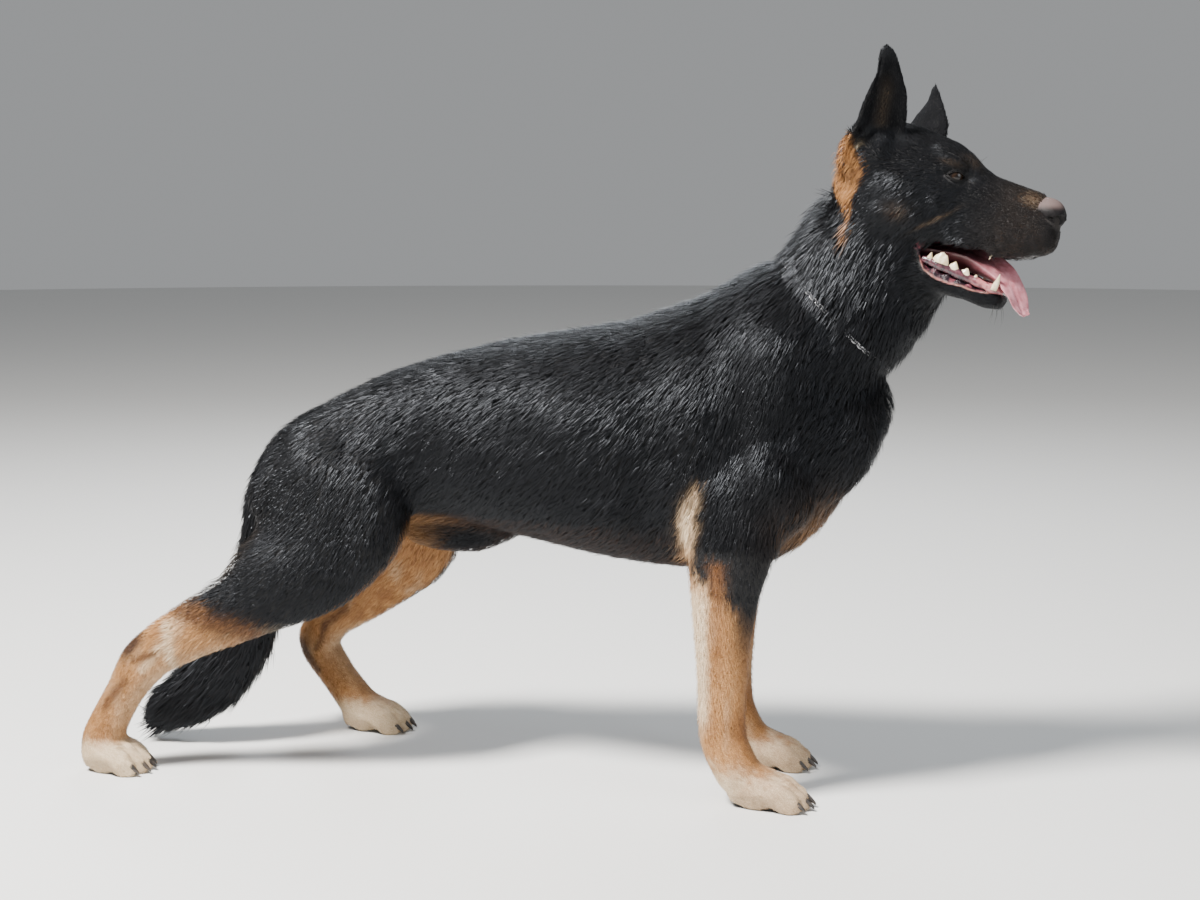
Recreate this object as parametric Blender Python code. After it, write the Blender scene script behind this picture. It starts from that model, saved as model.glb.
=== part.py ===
"""A shepherd dog standing with one hind leg stretched back, life size.

Metres, +Z up, +X towards the head, +Y to the dog's left. The dog is shaped round its own long line
and then moved so that its origin is the middle of the bottom of its box.
The body is one closed form, grown together from tapering tubes and muscle bulges, and is then
parted with thin cuts where a person names its parts.
"""
import math

import bpy
import bmesh
import numpy as np
from mathutils import Matrix, Vector
from mathutils.bvhtree import BVHTree

# Driving sizes
GAP = 0.0003            # between pieces that touch
GRAIN = 0.003           # cell of the form that grows the tubes together
SIDES = 28              # points round a tube
DOME_TURNS = tuple(math.radians(a) for a in (24, 48, 72))      # rings of a tube's round end
BODY_FACES = 2120       # triangles kept on the neck, the trunk, the legs and the tail
HEAD_FACES = 1100       # and on the head with its jaw and ears

FRONT_HALF_TRACK = 0.085        # forelegs, from the long line
FAR_FORE_BACK = 0.018           # the left foreleg stands this much further back
TOE_RADIUS = 0.0145

HEAD_AT = Vector((0.318, -0.005, 0.790))
HEAD_TURN, HEAD_NOD, HEAD_TILT = (math.radians(a) for a in (-14, 18, -5))
HEAD = (Matrix.Translation(HEAD_AT) @ Matrix.Rotation(HEAD_TURN, 4, "Z")
        @ Matrix.Rotation(HEAD_NOD, 4, "Y") @ Matrix.Rotation(HEAD_TILT, 4, "X"))

HEAD_CUT = (0.320, 0.0, 0.645)          # behind the cheeks
HEAD_CUT_AXIS = (0.8024, 0.0, 0.5968)
COLLAR_AT = (0.2885, 0.0, 0.5865)
COLLAR_AXIS = (0.715, 0.0, 0.700)
BODY_PASSES = 40        # softening of the grown form
HEAD_PASSES = 10
TOES = ((-1.5, 0.80), (-0.5, 0.875), (0.5, 0.875), (1.5, 0.80))     # place across, reach
TOE_SPACING = 0.0165
EYE_AT = (0.1275, 0.0262, -0.0085)      # in the head's own frame, left eye
EYE_RADIUS = 0.0115
COLLAR_WIRE = 0.0042

# Colours: linear red, green, blue; roughness; metallic
BLACK_COAT = ((0.012, 0.012, 0.014), 0.55, 0.0)
TAN_COAT = ((0.36, 0.19, 0.085), 0.70, 0.0)
CREAM_COAT = ((0.50, 0.36, 0.22), 0.75, 0.0)
NOSE_LEATHER = ((0.030, 0.022, 0.020), 0.35, 0.0)
EYE_BROWN = ((0.030, 0.014, 0.006), 0.08, 0.0)
TONGUE_PINK = ((0.50, 0.20, 0.22), 0.35, 0.0)
CHAIN_STEEL = ((0.55, 0.55, 0.56), 0.30, 1.0)


# ---------------------------------------------------------------- tools

def add_object(name, mesh):
    """A new object that shows the mesh."""
    obj = bpy.data.objects.new(name, mesh)
    bpy.context.scene.collection.objects.link(obj)
    return obj


def mesh_object(name, bm):
    """A new object from a bmesh, which is freed."""
    bm.normal_update()
    bmesh.ops.recalc_face_normals(bm, faces=bm.faces)
    if bm.calc_volume(signed=True) < 0:
        bmesh.ops.reverse_faces(bm, faces=bm.faces)
    mesh = bpy.data.meshes.new(name)
    bm.to_mesh(mesh)
    bm.free()
    return add_object(name, mesh)


def discard(obj):
    """Removes a helper object and its mesh."""
    mesh = obj.data
    bpy.data.objects.remove(obj)
    bpy.data.meshes.remove(mesh)


def applied(obj):
    """Bakes the object's modifiers into its mesh."""
    deps = bpy.context.evaluated_depsgraph_get()
    mesh = bpy.data.meshes.new_from_object(obj.evaluated_get(deps))
    old = obj.data
    obj.modifiers.clear()
    obj.data = mesh
    bpy.data.meshes.remove(old)
    return obj


def combine(obj, tool, operation, solver="EXACT"):
    """A Boolean of obj with tool; the tool is used up. The head's small cuts need the other solver."""
    step = obj.modifiers.new("cut", "BOOLEAN")
    step.operation = operation
    step.solver = solver
    step.object = tool
    applied(obj)
    discard(tool)
    return obj


def smooth_rows(rows, steps):
    """Rows of numbers joined by a Catmull-Rom curve, with the given steps between rows."""
    rows = np.array(rows, dtype=float)
    ends = np.vstack([2 * rows[0] - rows[1], rows, 2 * rows[-1] - rows[-2]])
    out = []
    for i in range(len(rows) - 1):
        a, b, c, d = ends[i:i + 4]
        for t in np.arange(steps) / steps:
            out.append(0.5 * (2 * b + (c - a) * t + (2 * a - 5 * b + 4 * c - d) * t ** 2
                              + (3 * b - a - 3 * c + d) * t ** 3))
    out.append(rows[-1])
    return np.array(out)


def section(centre, side, up, half, top, low, egg=0.0, corner=2.2, sides=SIDES):
    """Points of a rounded section: half width, height above and depth below its widest line."""
    turn = np.arange(sides) * 2 * math.pi / sides
    cos, sin = np.cos(turn), np.sin(turn)
    power = 2.0 / corner
    across = np.sign(cos) * np.abs(cos) ** power * half * (1 - egg * sin)
    along = np.sign(sin) * np.abs(sin) ** power * np.where(sin > 0, top, low)
    return centre + across[:, None] * side + along[:, None] * up


def tube(rows, upright=False, egg=0.0, corner=2.2, frame=None, steps=4, cap=0.6, sides=SIDES):
    """A closed tube through rows of x, y, z, half width, height above, depth below.

    Its sections stand across the path, or straight up if upright is set. Each end is a dome.
    """
    rows = smooth_rows(rows, steps)
    path = rows[:, :3]
    along = np.gradient(path, axis=0)
    if upright:
        along[:] = path[-1] - path[0]
        along[:, 1:] = 0
    along /= np.linalg.norm(along, axis=1)[:, None]
    side = np.cross(np.array([0, 0, 1.0]), along)
    if not upright and np.abs(along[:, 2]).max() > 0.8:
        side = np.cross(along, np.cross(np.array([0, 1.0, 0]), along))
    side /= np.linalg.norm(side, axis=1)[:, None]
    up = np.cross(along, side)
    body = [section(path[i], side[i], up[i], *rows[i, 3:6], egg, corner, sides)
            for i in range(len(rows))]
    domes = []
    for end, out in ((0, -1), (-1, 1)):
        reach = out * cap * rows[end, 3:6].min()
        domes.append([section(path[end] + along[end] * reach * math.sin(turn), side[end], up[end],
                              *(rows[end, 3:6] * math.cos(turn)), egg, corner, sides)
                      for turn in DOME_TURNS])
    rings = domes[0][::-1] + body + domes[1]
    bm = bmesh.new()
    loops = [[bm.verts.new(p) for p in ring] for ring in rings]
    for a, b in zip(loops, loops[1:]):
        for i in range(sides):
            j = (i + 1) % sides
            bm.faces.new((a[i], a[j], b[j], b[i]))
    bm.faces.new(loops[0])
    bm.faces.new(loops[-1])
    if frame is not None:
        bm.transform(frame)
    return mesh_object("tube", bm)


def upright_rows(rows):
    """Tube rows on the mid line from x, top, widest height, underside, half width."""
    return [(x, 0, mid, half, top - mid, mid - low) for x, top, mid, low, half in rows]


def ball(centre, radii, turn=0.0, frame=None, sides=24):
    """A muscle bulge: an ellipsoid, turned by degrees about the side axis, nose-down positive."""
    bm = bmesh.new()
    bmesh.ops.create_uvsphere(bm, u_segments=sides, v_segments=sides // 2, radius=1.0)
    place = Matrix.Translation(centre) @ Matrix.Rotation(math.radians(turn), 4, "Y")
    bm.transform(place @ Matrix.Diagonal((*radii, 1.0)))
    if frame is not None:
        bm.transform(frame)
    return mesh_object("ball", bm)


def both_sides(make):
    """The same piece on the left (+1) and on the right (-1)."""
    return [make(+1), make(-1)]


# ---------------------------------------------------------------- body

def trunk_form():
    """Chest, barrel, loin and croup: x, topline, widest height, underline, half width."""
    rows = [
        (0.335, 0.520, 0.472, 0.425, 0.044),    # forechest
        (0.305, 0.555, 0.462, 0.366, 0.074),
        (0.260, 0.585, 0.455, 0.306, 0.092),
        (0.200, 0.612, 0.450, 0.276, 0.102),    # withers over the brisket
        (0.120, 0.603, 0.440, 0.270, 0.110),
        (0.040, 0.577, 0.430, 0.276, 0.116),    # ribs
        (-0.040, 0.563, 0.425, 0.290, 0.114),
        (-0.120, 0.549, 0.425, 0.309, 0.104),   # end of the ribs
        (-0.200, 0.529, 0.425, 0.322, 0.090),   # loin
        (-0.280, 0.502, 0.410, 0.320, 0.086),
        (-0.350, 0.470, 0.390, 0.315, 0.080),   # croup
        (-0.405, 0.436, 0.370, 0.310, 0.058),
    ]
    return tube(upright_rows(rows), upright=True, steps=3)


def neck_form():
    """From inside the chest to inside the skull: place, half width, half depth both ways."""
    return tube([
        (0.130, 0.000, 0.455, 0.085, 0.130, 0.130),
        (0.215, 0.000, 0.525, 0.093, 0.116, 0.120),
        (0.286, -0.001, 0.588, 0.084, 0.099, 0.103),    # under the collar
        (0.335, -0.003, 0.648, 0.076, 0.094, 0.095),
        (0.362, -0.010, 0.698, 0.066, 0.072, 0.080),
    ])


def chest_details():
    """Shoulder blades, upper arms, forechest, sheath and the fold of skin at the flank."""
    shapes = []
    shapes += both_sides(lambda s: ball((0.205, 0.072 * s, 0.490), (0.072, 0.038, 0.125), 28))
    shapes += both_sides(lambda s: ball((0.215, 0.076 * s, 0.395), (0.058, 0.040, 0.080), -30))
    shapes += both_sides(lambda s: ball((0.300, 0.038 * s, 0.425), (0.045, 0.036, 0.070), 25))
    shapes.append(tube([(-0.105, 0, 0.312, 0.016, 0.02, 0.016), (-0.150, 0, 0.296, 0.018, 0.03, 0.020),
                        (-0.200, 0, 0.294, 0.018, 0.04, 0.020), (-0.245, 0, 0.305, 0.018, 0.04, 0.022)],
                       upright=True))
    return shapes


def foreleg(side, back):
    """A foreleg from the shoulder to the pastern: place, half width, half length both ways."""
    y = FRONT_HALF_TRACK * side
    x = -back
    return tube([
        (0.190 + x * 0.3, y * 0.95, 0.385, 0.036, 0.062, 0.062),
        (0.178 + x * 0.6, y * 1.00, 0.315, 0.034, 0.060, 0.058),    # elbow
        (0.171 + x, y * 1.02, 0.255, 0.030, 0.045, 0.044),
        (0.169 + x, y, 0.200, 0.0275, 0.037, 0.037),
        (0.1685 + x, y, 0.150, 0.0250, 0.0335, 0.0330),
        (0.1685 + x, y, 0.110, 0.0255, 0.0310, 0.0315),             # wrist
        (0.172 + x, y, 0.075, 0.0250, 0.0300, 0.0310),
        (0.190 + x, y, 0.040, 0.0280, 0.0270, 0.0290),
    ], steps=3)


def near_hindleg():
    """The right hind leg, stretched back behind the body."""
    return tube([
        (-0.335, -0.040, 0.440, 0.028, 0.080, 0.075),
        (-0.325, -0.058, 0.385, 0.048, 0.104, 0.098),
        (-0.318, -0.074, 0.325, 0.047, 0.095, 0.090),   # thigh
        (-0.345, -0.090, 0.272, 0.040, 0.070, 0.072),   # stifle
        (-0.405, -0.100, 0.235, 0.034, 0.054, 0.054),
        (-0.465, -0.107, 0.203, 0.029, 0.044, 0.044),   # second thigh
        (-0.525, -0.113, 0.170, 0.0240, 0.035, 0.036),
        (-0.562, -0.117, 0.142, 0.0230, 0.031, 0.033),  # hock
        (-0.586, -0.119, 0.106, 0.0215, 0.0265, 0.0265),
        (-0.607, -0.120, 0.072, 0.0220, 0.0255, 0.0255),
        (-0.622, -0.120, 0.038, 0.0260, 0.0260, 0.0270),
    ], steps=3)


def far_hindleg():
    """The left hind leg, drawn under the body with its hock low."""
    return tube([
        (-0.335, 0.040, 0.440, 0.028, 0.080, 0.075),
        (-0.312, 0.058, 0.385, 0.048, 0.100, 0.100),
        (-0.285, 0.076, 0.325, 0.047, 0.086, 0.090),    # thigh
        (-0.270, 0.094, 0.272, 0.040, 0.062, 0.066),    # stifle
        (-0.312, 0.108, 0.226, 0.034, 0.047, 0.048),
        (-0.360, 0.120, 0.187, 0.029, 0.038, 0.039),    # second thigh
        (-0.405, 0.130, 0.153, 0.0240, 0.031, 0.031),
        (-0.428, 0.136, 0.122, 0.0230, 0.030, 0.031),   # hock
        (-0.411, 0.139, 0.088, 0.0215, 0.0270, 0.0270),
        (-0.392, 0.140, 0.062, 0.0220, 0.0260, 0.0260),
        (-0.372, 0.140, 0.036, 0.0260, 0.0250, 0.0260),
    ], steps=3)


def paw_form(heel, length, side_y):
    """A paw whose heel is at x = heel: the back, four toes and the pads under them."""
    mid = heel + length * 0.42
    shapes = [tube([(heel + 0.020, side_y, 0.024, 0.024, 0.020, 0.022),
                    (mid, side_y, 0.026, 0.031, 0.024, 0.024),
                    (heel + length * 0.72, side_y, 0.021, 0.030, 0.017, 0.021)], upright=True)]
    for row, reach in TOES:
        y = side_y + row * TOE_SPACING
        shapes.append(ball((heel + length * reach - 0.012, y, 0.0165), (0.023, 0.0092, TOE_RADIUS), 14))
        shapes.append(ball((heel + length * reach - 0.004, y, 0.0050), (0.015, 0.0085, 0.0090)))
    shapes.append(ball((mid, side_y, 0.0080), (0.024, 0.025, 0.0125)))
    return shapes


def tail_form():
    """The bushy tail hangs from the croup and sweeps back just over the floor."""
    return tube([
        (-0.370, 0.000, 0.432, 0.026, 0.026, 0.026),
        (-0.412, 0.008, 0.396, 0.030, 0.032, 0.032),
        (-0.443, 0.018, 0.340, 0.034, 0.035, 0.035),
        (-0.456, 0.026, 0.265, 0.037, 0.038, 0.038),
        (-0.470, 0.030, 0.195, 0.038, 0.040, 0.040),
        (-0.500, 0.030, 0.132, 0.038, 0.050, 0.043),
        (-0.548, 0.028, 0.080, 0.036, 0.052, 0.044),
        (-0.609, 0.024, 0.041, 0.028, 0.035, 0.030),
    ])


# ---------------------------------------------------------------- head

def skull_form():
    """Skull, stop and muzzle in the head's frame: x, top, widest height, underside, half width."""
    rows = [
        (0.016, 0.021, -0.037, -0.100, 0.051),      # back of the skull
        (0.036, 0.031, -0.036, -0.108, 0.058),
        (0.060, 0.034, -0.038, -0.112, 0.060),
        (0.090, 0.032, -0.040, -0.110, 0.059),      # cheeks
        (0.113, 0.030, -0.040, -0.102, 0.052),
        (0.132, 0.024, -0.042, -0.091, 0.043),      # brow
        (0.148, 0.0145, -0.044, -0.084, 0.0370),    # stop
        (0.166, 0.0080, -0.048, -0.080, 0.0340),
        (0.188, 0.0065, -0.050, -0.079, 0.0315),    # bridge over the lips
        (0.210, 0.0070, -0.050, -0.078, 0.0295),
        (0.230, 0.0055, -0.046, -0.072, 0.0265),
        (0.244, 0.0015, -0.038, -0.062, 0.0210),    # nose
    ]
    return tube(upright_rows(rows), upright=True, egg=0.22, frame=HEAD, cap=0.62)


def jaw_form():
    """The lower jaw hangs open: x, top, widest height, underside, half width."""
    rows = [
        (0.045, -0.060, -0.095, -0.124, 0.048),     # corner of the jaw
        (0.085, -0.078, -0.108, -0.138, 0.046),
        (0.120, -0.098, -0.119, -0.1405, 0.040),
        (0.150, -0.110, -0.123, -0.1400, 0.033),
        (0.180, -0.1135, -0.124, -0.1370, 0.0275),
        (0.205, -0.1130, -0.124, -0.1385, 0.0230),
        (0.222, -0.1140, -0.123, -0.1350, 0.0180),  # chin
    ]
    return tube(upright_rows(rows), upright=True, frame=HEAD)


def face_details():
    """Brow ridges, cheek muscles, cheek bones, lips, lip corners, ear roots and the pad of the nose."""
    shapes = []
    shapes += both_sides(lambda s: ball((0.115, 0.023 * s, 0.0095), (0.026, 0.0155, 0.0140), 20, HEAD))
    shapes += both_sides(lambda s: ball((0.072, 0.043 * s, -0.055), (0.042, 0.019, 0.045), -12, HEAD))
    shapes += both_sides(lambda s: ball((0.104, 0.038 * s, -0.033), (0.040, 0.0120, 0.015), 20, HEAD))
    shapes += both_sides(lambda s: ball((0.205, 0.019 * s, -0.057), (0.040, 0.0125, 0.020), 0, HEAD))
    shapes += both_sides(lambda s: ball((0.148, 0.0275 * s, -0.072), (0.034, 0.0100, 0.0130), 10, HEAD))
    shapes += both_sides(lambda s: ball((0.028, 0.047 * s, -0.020), (0.030, 0.0180, 0.036), -8, HEAD))
    shapes.append(ball((0.246, 0, -0.0125), (0.0130, 0.0150, 0.0150), 0, HEAD))
    return shapes


def ear_form(base, tip, facing, half_base, cup):
    """An upright ear: a cupped leaf from base to tip that opens towards facing."""
    base, tip, facing = (np.array(v, dtype=float) for v in (base, tip, facing))
    axis = tip - base
    facing -= axis * facing.dot(axis) / axis.dot(axis)
    facing /= np.linalg.norm(facing)
    across = np.cross(facing, axis)
    across /= np.linalg.norm(across)
    rows, columns = 16, 15
    bm = bmesh.new()
    grid = []
    for i in range(rows):
        u = i / (rows - 1)
        half = half_base * (1 - u ** 1.7) ** 0.8 * (0.86 + 0.35 * u) + 0.003
        deep = cup * (1 - u) ** 0.7
        line = []
        for j in range(columns):
            v = 2 * j / (columns - 1) - 1
            bend = v * 1.15
            point = base + axis * u + across * half * math.sin(bend) / math.sin(1.15)
            point = point - facing * (deep * (math.cos(bend) - math.cos(1.15)) - 0.010 * u * (1 - u))
            line.append(bm.verts.new(point))
        grid.append(line)
    for a, b in zip(grid, grid[1:]):
        for j in range(columns - 1):
            bm.faces.new((a[j], a[j + 1], b[j + 1], b[j]))
    bm.normal_update()
    bmesh.ops.solidify(bm, geom=bm.faces, thickness=0.0065)
    bm.transform(HEAD)
    return mesh_object("ear", bm)


NEAR_EAR = dict(base=(0.038, -0.050, -0.030), tip=(0.010, -0.066, 0.110),
                facing=(0.62, -0.78, 0.0), half_base=0.040, cup=0.034)
FAR_EAR = dict(base=(0.044, 0.052, -0.030), tip=(0.030, 0.090, 0.097),
               facing=(0.66, 0.75, 0.0), half_base=0.040, cup=0.034)


def gape_form():
    """The opening between the lips, right through from side to side, narrow at its corner."""
    rows = [
        (0.124, -0.0990, -0.1030, -0.1080, 0.080),
        (0.136, -0.0880, -0.1010, -0.1125, 0.080),
        (0.156, -0.0805, -0.0980, -0.1130, 0.080),
        (0.190, -0.0780, -0.0960, -0.1120, 0.080),
        (0.222, -0.0750, -0.0940, -0.1110, 0.080),
    ]
    return tube(upright_rows(rows), upright=True, corner=5.0, frame=HEAD, cap=0.1, sides=16, steps=1)


def palate_form():
    """The hollow between the upper lips: x, top, widest height, underside, half width."""
    rows = [
        (0.105, -0.0960, -0.1010, -0.1060, 0.020),
        (0.140, -0.0740, -0.0920, -0.1060, 0.025),
        (0.180, -0.0640, -0.0830, -0.0960, 0.0225),
        (0.212, -0.0610, -0.0780, -0.0920, 0.0195),
        (0.233, -0.0600, -0.0720, -0.0880, 0.0120),
    ]
    return tube(upright_rows(rows), upright=True, frame=HEAD, sides=12, steps=1)


def floor_form():
    """The hollow between the lower teeth, in the same terms."""
    rows = [
        (0.108, -0.0980, -0.1040, -0.1120, 0.020),
        (0.140, -0.0980, -0.1100, -0.1220, 0.0200),
        (0.175, -0.1000, -0.1130, -0.1255, 0.0150),
        (0.205, -0.1020, -0.1130, -0.1230, 0.0105),
    ]
    return tube(upright_rows(rows), upright=True, frame=HEAD, sides=12, steps=1)


def tongue_form(extra=0.0):
    """The panting tongue lies along the floor of the mouth and hangs over the chin."""
    rows = [
        (0.122, 0.000, -0.1020, 0.0150, 0.0050),
        (0.155, 0.000, -0.0985, 0.0175, 0.0055),
        (0.188, -0.001, -0.0990, 0.0165, 0.0050),
        (0.222, -0.004, -0.1020, 0.0170, 0.0045),
        (0.240, -0.007, -0.1130, 0.0180, 0.0040),
        (0.246, -0.007, -0.1300, 0.0150, 0.0035),
    ]
    rows = [(x, y, z, half + extra, thick + extra, thick + extra) for x, y, z, half, thick in rows]
    return tube(rows, frame=HEAD, sides=8, steps=2, cap=1.2)


def eye_ball(name, at, radius):
    """A ball at a place in the head's frame."""
    bm = bmesh.new()
    bmesh.ops.create_uvsphere(bm, u_segments=12, v_segments=8, radius=radius)
    bm.transform(HEAD @ Matrix.Translation(at))
    return mesh_object(name, bm)


def lower_teeth():
    """Canines, cheek teeth and front teeth of the lower jaw: base, tip, radius, flatness."""
    side = [((0.2050, 0.0165, -0.1200), (0.2125, 0.0195, -0.0955), 0.0045, 1.0),
            ((0.1850, 0.0205, -0.1200), (0.1855, 0.0205, -0.1045), 0.0045, 0.6),
            ((0.1725, 0.0230, -0.1200), (0.1730, 0.0230, -0.1010), 0.0055, 0.6),
            ((0.1585, 0.0255, -0.1200), (0.1590, 0.0255, -0.0975), 0.0065, 0.6),
            ((0.1430, 0.0285, -0.1200), (0.1440, 0.0280, -0.0925), 0.0080, 0.6)]
    return mirrored(side)


def upper_teeth():
    """Canines and front teeth of the upper jaw, in the same terms."""
    side = [((0.2060, 0.0205, -0.0660), (0.1985, 0.0215, -0.0860), 0.0046, 1.0),
            ((0.2255, 0.0105, -0.0590), (0.2260, 0.0105, -0.0720), 0.0030, 0.8),
            ((0.2310, 0.0038, -0.0580), (0.2315, 0.0038, -0.0715), 0.0028, 0.8)]
    return mirrored(side)


# ---------------------------------------------------------------- growing together

def towards_head(points):
    """How far points lie ahead of the cut behind the cheeks."""
    return (points - np.array(HEAD_CUT)) @ np.array(HEAD_CUT_AXIS)


def grown_together(objects, name):
    """One closed skin round all the objects, softened most on the body and least on head and paws."""
    bm = bmesh.new()
    for obj in objects:
        bm.from_mesh(obj.data)
        discard(obj)
    whole = mesh_object(name, bm)
    remesh = whole.modifiers.new("grow", "REMESH")
    remesh.mode = "VOXEL"
    remesh.voxel_size = GRAIN
    applied(whole)
    count = len(whole.data.vertices)
    points = np.empty(count * 3)
    whole.data.vertices.foreach_get("co", points)
    points = points.reshape(-1, 3)
    soft = np.clip(-towards_head(points) / 0.04, 0, 1) * np.clip((points[:, 2] - 0.05) / 0.06, 0, 1)
    group = whole.vertex_groups.new(name="soft")
    for level in range(1, 11):
        chosen = np.flatnonzero(np.round(soft * 10) == level)
        group.add(chosen.tolist(), level / 10, "REPLACE")
    for weighted, passes in (("soft", BODY_PASSES), ("", HEAD_PASSES)):
        soften = whole.modifiers.new("soften", "SMOOTH")
        soften.factor = 0.5
        soften.iterations = passes
        soften.vertex_group = weighted
    return applied(whole)


def thinned(obj, faces):
    """The same form with about the given number of triangles."""
    count = sum(len(p.vertices) - 2 for p in obj.data.polygons)
    thin = obj.modifiers.new("thin", "DECIMATE")
    thin.ratio = faces / count
    return applied(obj)


def cut_away(obj, centre, axis):
    """Removes what lies on the axis's side of a plane and closes the cut."""
    bm = bmesh.new()
    bm.from_mesh(obj.data)
    geometry = bm.verts[:] + bm.edges[:] + bm.faces[:]
    cut = bmesh.ops.bisect_plane(bm, geom=geometry, plane_co=centre, plane_no=axis,
                                 clear_outer=True, dist=1e-7)
    edges = [e for e in cut["geom_cut"] if isinstance(e, bmesh.types.BMEdge)]
    bmesh.ops.holes_fill(bm, edges=edges, sides=0)
    bmesh.ops.triangulate(bm, faces=[f for f in bm.faces if len(f.verts) > 4])
    bm.to_mesh(obj.data)
    bm.free()
    return obj


# ---------------------------------------------------------------- parting

def surface_ring(obj, centre, axis, count):
    """Points where rays from the centre, square to the axis, leave the object."""
    axis = Vector(axis).normalized()
    side = Vector((0, 1, 0))
    up = axis.cross(side)
    bm = bmesh.new()
    bm.from_mesh(obj.data)
    tree = BVHTree.FromBMesh(bm)
    bm.free()
    ring = []
    for i in range(count):
        turn = 2 * math.pi * i / count
        ray = side * math.cos(turn) + up * math.sin(turn)
        ring.append(tree.ray_cast(Vector(centre) + ray * 0.3, -ray)[0])
    return ring


def ring_cord(name, path, centre, axis, radius, around):
    """A round cord closed on itself along the path."""
    axis = Vector(axis).normalized()
    bm = bmesh.new()
    loops = []
    for point in path:
        out = (point - Vector(centre)).normalized()
        loop = []
        for k in range(around):
            turn = 2 * math.pi * k / around
            loop.append(bm.verts.new(point + (out * math.cos(turn) + axis * math.sin(turn)) * radius))
        loops.append(loop)
    for a, b in zip(loops, loops[1:] + loops[:1]):
        for k in range(around):
            bm.faces.new((a[k], a[(k + 1) % around], b[(k + 1) % around], b[k]))
    return mesh_object(name, bm)


def spike(bm, base, tip, radius, flat=1.0):
    """A claw or a tooth: a pointed cone, its base a little inside what it grows from."""
    base, tip = Vector(base), Vector(tip)
    axis = tip - base
    turn = axis.to_track_quat("Z", "Y").to_matrix().to_4x4()
    place = Matrix.Translation(base) @ turn @ Matrix.Diagonal((1.0, flat, 1.0, 1.0))
    bmesh.ops.create_cone(bm, cap_ends=True, segments=6, radius1=radius, radius2=radius * 0.22,
                          depth=axis.length, matrix=place @ Matrix.Translation((0, 0, axis.length / 2)))


def with_spikes(obj, spikes, frame=None):
    """Joins claws or teeth, each base, tip, radius and flatness, to what they grow from."""
    bm = bmesh.new()
    for base, tip, radius, flat in spikes:
        spike(bm, base, tip, radius, flat)
    if frame is not None:
        bm.transform(frame)
    return combine(obj, mesh_object("spikes", bm), "UNION", "MANIFOLD")


def claws(heel, length, side_y):
    """The claws of one paw, at the ends of its four toes."""
    spikes = []
    for row, reach in TOES:
        x = heel + length * reach
        y = side_y + row * TOE_SPACING
        spikes.append(((x + 0.002, y, 0.0140), (x + 0.018, y, 0.0045), 0.0034, 0.75))
    return spikes


def mirrored(spikes):
    """The spikes of one side, and the same on the other side."""
    return spikes + [((a[0], -a[1], a[2]), (b[0], -b[1], b[2]), r, f) for a, b, r, f in spikes]


def main_body(obj):
    """Keeps the largest of the object's loose bodies."""
    bm = bmesh.new()
    bm.from_mesh(obj.data)
    left = set(bm.verts)
    bodies = []
    while left:
        stack = [left.pop()]
        body = set(stack)
        while stack:
            for edge in stack.pop().link_edges:
                for vert in edge.verts:
                    if vert in left:
                        left.discard(vert)
                        body.add(vert)
                        stack.append(vert)
        bodies.append(body)
    bodies.sort(key=len)
    for body in bodies[:-1]:
        bmesh.ops.delete(bm, geom=list(body), context="VERTS")
    bm.to_mesh(obj.data)
    bm.free()
    return obj


def part_off(whole, name, centre, axis, size, frame=None, solver="EXACT"):
    """Moves the material inside a block from whole to a new object, with a thin gap between.

    The block's near face is centred on centre, and the block lies on the axis's side of it.
    Its size is given along the axis's level or forward line, across that, and along the axis.
    """
    piece = add_object(name, whole.data.copy())
    combine(piece, block(centre, axis, size, 0.0, frame), "INTERSECT", solver)
    combine(whole, block(centre, axis, size, GAP, frame), "DIFFERENCE", solver)
    main_body(whole)
    return main_body(piece)


def block(centre, axis, size, extra, frame):
    """A cutting block, larger on every side by extra."""
    z = Vector(axis).normalized()
    x = Vector((0, 1, 0)).cross(z)
    if x.length < 0.5:
        x = Vector((1, 0, 0))
    x.normalize()
    y = z.cross(x)
    turn = Matrix((x, y, z)).transposed().to_4x4()
    bm = bmesh.new()
    bmesh.ops.create_cube(bm, size=1.0)
    grown = [length + 2 * extra for length in size]
    bm.transform(Matrix.Translation(Vector(centre) - z * extra) @ turn
                 @ Matrix.Diagonal((*grown, 1.0)) @ Matrix.Translation((0, 0, 0.5)))
    if frame is not None:
        bm.transform(frame)
    return mesh_object("block", bm)


# ---------------------------------------------------------------- the whole dog

for old in list(bpy.data.objects):
    bpy.data.objects.remove(old)

PAWS = {"forepaw_right": (0.166, 0.114, -FRONT_HALF_TRACK),
        "forepaw_left": (0.166 - FAR_FORE_BACK, 0.114, FRONT_HALF_TRACK),
        "hindpaw_right": (-0.655, 0.100, -0.120),
        "hindpaw_left": (-0.402, 0.108, 0.140)}

shapes = [trunk_form(), neck_form(), tail_form()]
shapes += [foreleg(-1, 0.0), foreleg(+1, FAR_FORE_BACK), near_hindleg(), far_hindleg()]
shapes += chest_details()
for heel, length, side_y in PAWS.values():
    shapes += paw_form(heel, length, side_y)
shapes += [skull_form(), jaw_form(), ear_form(**NEAR_EAR), ear_form(**FAR_EAR)]
shapes += face_details()
body = grown_together(shapes, "body")

# Head and body are thinned apart, each with a little more than it keeps, and then cut to meet.
cut, cut_axis = Vector(HEAD_CUT), Vector(HEAD_CUT_AXIS)
head = add_object("head", body.data.copy())
cut_away(head, cut - cut_axis * 0.02, -cut_axis)
cut_away(body, cut + cut_axis * 0.02, cut_axis)
thinned(head, HEAD_FACES)
thinned(body, BODY_FACES)
cut_away(head, cut + cut_axis * GAP / 2, -cut_axis)
cut_away(body, cut - cut_axis * GAP / 2, cut_axis)
cut_away(body, (0, 0, 0), (0, 0, -1))

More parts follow.
